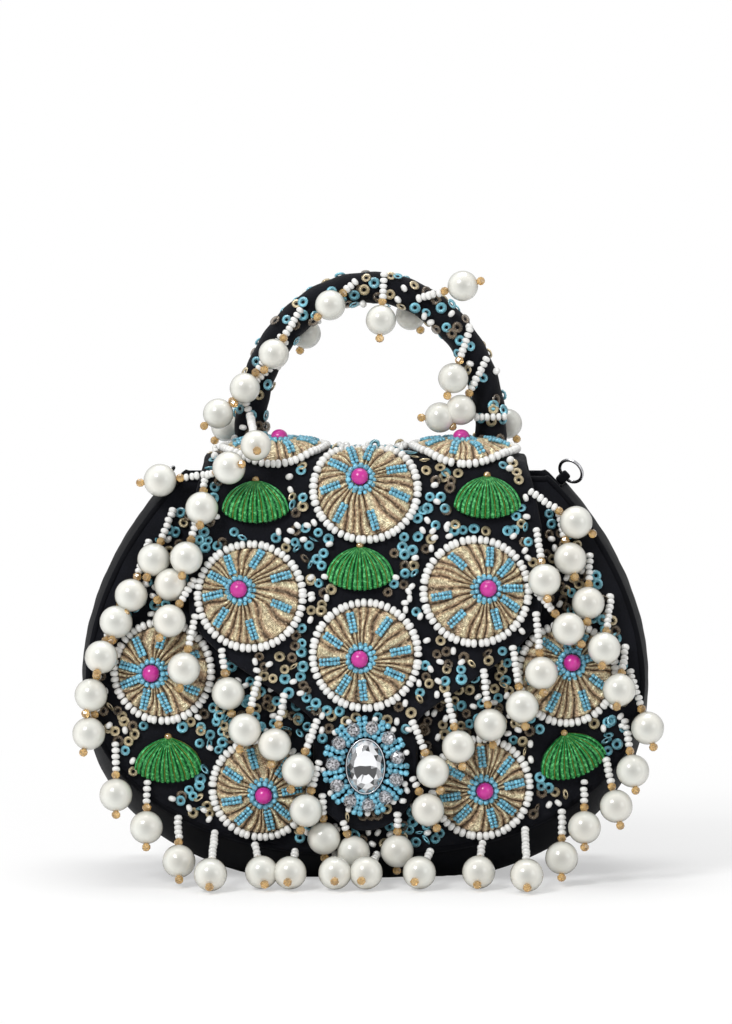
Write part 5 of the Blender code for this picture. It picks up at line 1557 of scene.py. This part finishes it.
class BAG_OT_lining(bpy.types.Operator):
    """Make the lining that hangs inside the bag"""

    bl_idname = "beaded_bag.lining"
    bl_label = "Lining"

    def execute(self, context):
        outer = self.skin(0.0)
        shape = capped_wall(outer, self.skin(LINING_WALL))
        piece = add_piece("lining_cloth", shape, "lining", "bag", "lining")
        return {"FINISHED"}

    @staticmethod
    def skin(inward):
        """Level superellipses inside the panels and the gusset, rounder at the floor, folded."""
        gap = GUSSET_WALL + LINING_GAP
        keel = gusset_face(np.linspace(0.02, 0.5, 300), 0.0, gap)
        crossing = gusset_face(0.5, np.linspace(0, 1, 200), gap)
        floor_z = GUSSET_WALL + SEAM_CLEAR + BOARD_WALL + SEAM_CLEAR
        level = np.linspace(0, 1, 60) ** 1.6
        z = floor_z + (LINING_TOP_Z - floor_z) * level
        half_x = np.interp(z, keel[::-1, 2], -keel[::-1, 0])
        half_y = np.interp(z, crossing[:, 2], crossing[:, 1])
        half_y = np.minimum(half_y, seam_depth(z) - PANEL_WALL - LINING_GAP)
        floor = np.linspace(0.03, 1, 12)[:-1]
        share = np.append(floor, np.ones(len(z)))[:, None]
        rows = np.stack((z, half_x - inward, half_y - inward, 2 / (2 + 1.6 * level)))
        rows = np.hstack((np.repeat(rows[:, :1], len(floor), axis=1), rows))
        z, half_x, half_y, curl = rows[..., None]
        z = np.where(share < 1, z + inward, np.maximum(z, floor_z + inward))
        turn = circle(160)
        cos, sin = np.cos(turn), np.sin(turn)
        x = share * half_x * np.sign(cos) * np.abs(cos) ** curl
        y = share * half_y * np.sign(sin) * np.abs(sin) ** curl
        fold = LINING_FOLD * (1 + np.sin(turn * 22 + 2 * np.sin(z * 60)))
        fold = fold * np.clip((z - 0.02) / 0.03, 0, 1)
        shrink = 1 - fold / np.maximum(np.hypot(x, y), 0.004)
        return np.stack((x * shrink, y * shrink, z + 0 * x), -1)


def capped_wall(outer, inner):
    """A closed wall between two grids of rings, each closed over its first ring by a fan."""
    rows, columns = outer.shape[:2]
    count = rows * columns
    points = np.vstack(
        (outer.reshape(-1, 3), inner.reshape(-1, 3), outer[0].mean(0), inner[0].mean(0))
    )
    quads = grid_faces(rows, columns, True)
    ring = count - columns + np.arange(columns)
    after = np.roll(ring, -1)
    rim = np.column_stack((ring, after, after + count, ring + count))
    caps = np.vstack((
        fan_faces(0, columns, 2 * count)[:, ::-1], fan_faces(count, columns, 2 * count + 1)
    ))
    return points, outward(points, [np.vstack((quads, quads[:, ::-1] + count, rim)), caps])


class BAG_OT_fittings(bpy.types.Operator):
    """Make the strap tabs, their rings and the two halves of the snap, and cover the board"""

    bl_idname = "beaded_bag.fittings"
    bl_label = "Fittings"

    def execute(self, context):
        self.make_tab_and_ring(-1, "left")
        self.make_tab_and_ring(1, "right")
        self.make_snap("snap_lower", "bag", front_face, float, 0.0015, 0.0007)
        self.make_snap("snap_upper", "lid", flap_face, front_run, 0.0009, -0.0003)
        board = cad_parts["base_board"]
        board = bpy.data.objects[board] if isinstance(board, str) else board
        board.data.materials.clear()
        board.data.materials.append(finish("board"))
        return {"FINISHED"}

    @staticmethod
    def make_tab_and_ring(side, name):
        """A soft block whose section is a superellipse, and a wire circle swung from its axis."""
        point, normal = along(SEAM, gusset_start())
        out = np.array([-side * normal[0], 0, normal[1]])
        up = np.array([-side * normal[1], 0, -normal[0]])
        depth = np.array([0, 1.0, 0])
        end = np.array([-side * point[0], 0, point[1]]) + out * (SIDE_SWELL - GUSSET_WALL / 2)
        axis = end + up * (TAB_HALF_HEIGHT + 0.0003) + out * RING_OFFSET
        hole = RING_WIRE + RING_PLAY + RING_RADIUS - math.sqrt(RING_RADIUS**2 - TAB_HALF_HEIGHT**2)
        inner, outer = RING_OFFSET + GUSSET_WALL / 2, hole + TAB_SKIN
        points, faces = round_shape(36, 24)
        soft = np.sign(points) * np.abs(points) ** 0.45
        soft = soft * ((inner + outer) / 2, TAB_HALF_DEPTH, TAB_HALF_HEIGHT)
        middle = axis + out * (outer - inner) / 2
        made = soft @ np.stack((out, depth, np.cross(out, depth))) + middle
        add_piece(
            f"tab_{name}_satin", (made, outward(made, faces)), "satin", "bag",
            f"tab_{name}",
        )
        swing = math.radians(RING_DEGREES[name])
        away = out * math.cos(swing) - depth * math.sin(swing)
        turn = circle(64)[:, None]
        path = axis + away * RING_RADIUS * (1 - np.cos(turn)) + up * RING_RADIUS * np.sin(turn)
        wire = tube(path, RING_WIRE, 12, True, np.cross(away, up))
        add_piece(f"ring_{name}_wire", wire, "steel", f"{name}_ring", f"ring_{name}")

    @staticmethod
    def make_snap(node, body, face, run, thick, proud):
        """A disc with a raised rim and a dimple, turned about the axis of the plain one."""
        low, high = np.array(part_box(node))
        middle, radius = (low + high) / 2, (high[0] - low[0]) / 2
        _, axes = seated(face, np.zeros(1), np.array([run(middle[2])]))
        half = thick / 2 / radius
        profile = ((0.02, -half), (1.0, -half), (1.0, half * 0.7), (0.93, half), (0.5, half),
                   (0.42, half * 0.2), (0.02, half * 0.2))
        middle = middle + axes[..., 2] * proud
        disc = stamped(turned_shape(profile, 48), middle, axes, radius * 0.97)
        add_piece(f"{node}_disc", disc, "steel", body, node)


def add_object(name, data):
    """A new object in the scene."""
    made = bpy.data.objects.new(name, data)
    bpy.context.scene.collection.objects.link(made)
    return made


class BAG_OT_stage(bpy.types.Operator):
    """Set the camera, the pale floor, the lamps and the white surround"""

    bl_idname = "beaded_bag.stage"
    bl_label = "Stage"

    def execute(self, context):
        self.make_camera(context.scene)
        self.make_floor()
        for name, place, size, power in (
            ("key", (-0.8, -1.2, 1.2), 0.5, 19),
            ("fill", (1.2, -1.3, 0.6), 0.8, 4),
            ("top", (0.0, 0.3, 1.5), 0.9, 10),
        ):
            data = bpy.data.lights.new(name, "AREA")
            data.shape, data.size, data.energy = "SQUARE", size, power
            lamp = add_object(name, data)
            lamp.location = place
            aim = Vector((0, 0, 0.09)) - Vector(place)
            lamp.rotation_euler = aim.to_track_quat("-Z", "Y").to_euler()
        self.make_surround(context.scene)
        context.scene.view_settings.view_transform = "Standard"
        return {"FINISHED"}

    @staticmethod
    def make_camera(scene):
        """Level with the bag's middle and four degrees above it, on a long lens."""
        lens = bpy.data.cameras.new("camera")
        camera = add_object("camera", lens)
        back = Vector((0, -math.cos(CAMERA_RISE), math.sin(CAMERA_RISE)))
        camera.location = Vector(CAMERA_TARGET) + back * CAMERA_DISTANCE
        camera.rotation_euler = (math.pi / 2 - CAMERA_RISE, 0, 0)
        lens.sensor_fit, lens.sensor_height, lens.clip_end = "VERTICAL", SENSOR_HEIGHT, 200
        lens.lens = SENSOR_HEIGHT * CAMERA_DISTANCE / (PIXELS_HIGH / PIXELS_PER_METRE)
        scene.camera = camera

    @staticmethod
    def make_floor():
        """A wide disc, whose colour the camera sees partly as plain white."""
        turn = circle(64)
        mesh = bpy.data.meshes.new("floor")
        ring = FLOOR_RADIUS * np.column_stack((np.cos(turn), np.sin(turn), np.zeros(64)))
        mesh.from_pydata(ring.tolist(), [], [list(range(64))])
        floor = add_object("floor", mesh)
        look = Look("floor_white", (0.9, 0.9, 0.9), 0.9, Specular_IOR_Level=0.1)
        tree = look.tree
        place = add_node(tree, "TexCoord", {}).outputs["Object"]
        away = add_node(tree, "VectorMath", {0: place}, operation="LENGTH").outputs["Value"]
        span = {"Value": away, "From Min": 0.08, "From Max": 0.40, "To Min": 0.45, "To Max": 1.0}
        fade = add_node(tree, "MapRange", span, interpolation_type="SMOOTHSTEP").outputs["Result"]
        seen = add_node(tree, "LightPath", {}).outputs["Is Camera Ray"]
        glow = add_node(tree, "Emission", {"Color": WHITE}).outputs["Emission"]
        share = maths(tree, "MULTIPLY", seen, fade)
        parts = {"Fac": share, 1: look.shader.outputs["BSDF"], 2: glow}
        mix = add_node(tree, "MixShader", parts).outputs["Shader"]
        feed(tree, tree.nodes["Material Output"], {"Surface": mix})
        mesh.materials.append(look.made)

    @staticmethod
    def make_surround(scene):
        """An even white sky, dimmer as a lamp than it is to the camera."""
        world = bpy.data.worlds.new("white_surround")
        scene.world = world
        world.use_nodes = True
        tree = world.node_tree
        path = add_node(tree, "LightPath", {}).outputs
        seen = maths(tree, "MAXIMUM", path["Is Camera Ray"], path["Is Transmission Ray"])
        mirrored = maths(tree, "MULTIPLY", path["Is Glossy Ray"], 0.6)
        level = mapped(tree, maths(tree, "MAXIMUM", seen, mirrored), 0.42, 1.0)
        feed(tree, tree.nodes["Background"], {"Color": WHITE, "Strength": level})


OPERATORS = (
    BAG_OT_stage,
    BAG_OT_body_cloth,
    BAG_OT_flap_cloth,
    BAG_OT_lining,
    BAG_OT_handle_cloth,
    BAG_OT_medallions,
    BAG_OT_shells,
    BAG_OT_brooch,
    BAG_OT_spangles,
    BAG_OT_pearl_drops,
    BAG_OT_fittings,
)


class BAG_PT_sidebar(bpy.types.Panel):
    """The bag's pieces and the sizes and colours of its dressing"""

    bl_idname = "BAG_PT_sidebar"
    bl_label = "Beaded Bag"
    bl_space_type = "VIEW_3D"
    bl_region_type = "UI"
    bl_category = "Beaded Bag"

    def draw(self, context):
        settings = context.scene.beaded_bag
        column = self.layout.column()
        for label in BeadedBagSettings.__annotations__:
            column.prop(settings, label)
        for operator in OPERATORS:
            column.operator(operator.bl_idname)


CLASSES = (BeadedBagSettings, *OPERATORS, BAG_PT_sidebar)


def register():
    for made in CLASSES:
        bpy.utils.register_class(made)
    bpy.types.Scene.beaded_bag = PointerProperty(type=BeadedBagSettings)


def unregister():
    del bpy.types.Scene.beaded_bag
    for made in reversed(CLASSES):
        bpy.utils.unregister_class(made)


def main():
    register()
    bpy.ops.beaded_bag.stage()
    bpy.ops.beaded_bag.body_cloth()
    bpy.ops.beaded_bag.flap_cloth()
    bpy.ops.beaded_bag.lining()
    bpy.ops.beaded_bag.handle_cloth()
    bpy.ops.beaded_bag.medallions()
    bpy.ops.beaded_bag.shells()
    bpy.ops.beaded_bag.brooch()
    bpy.ops.beaded_bag.spangles()
    bpy.ops.beaded_bag.pearl_drops()
    bpy.ops.beaded_bag.fittings()


if __name__ == "__main__":
    main()
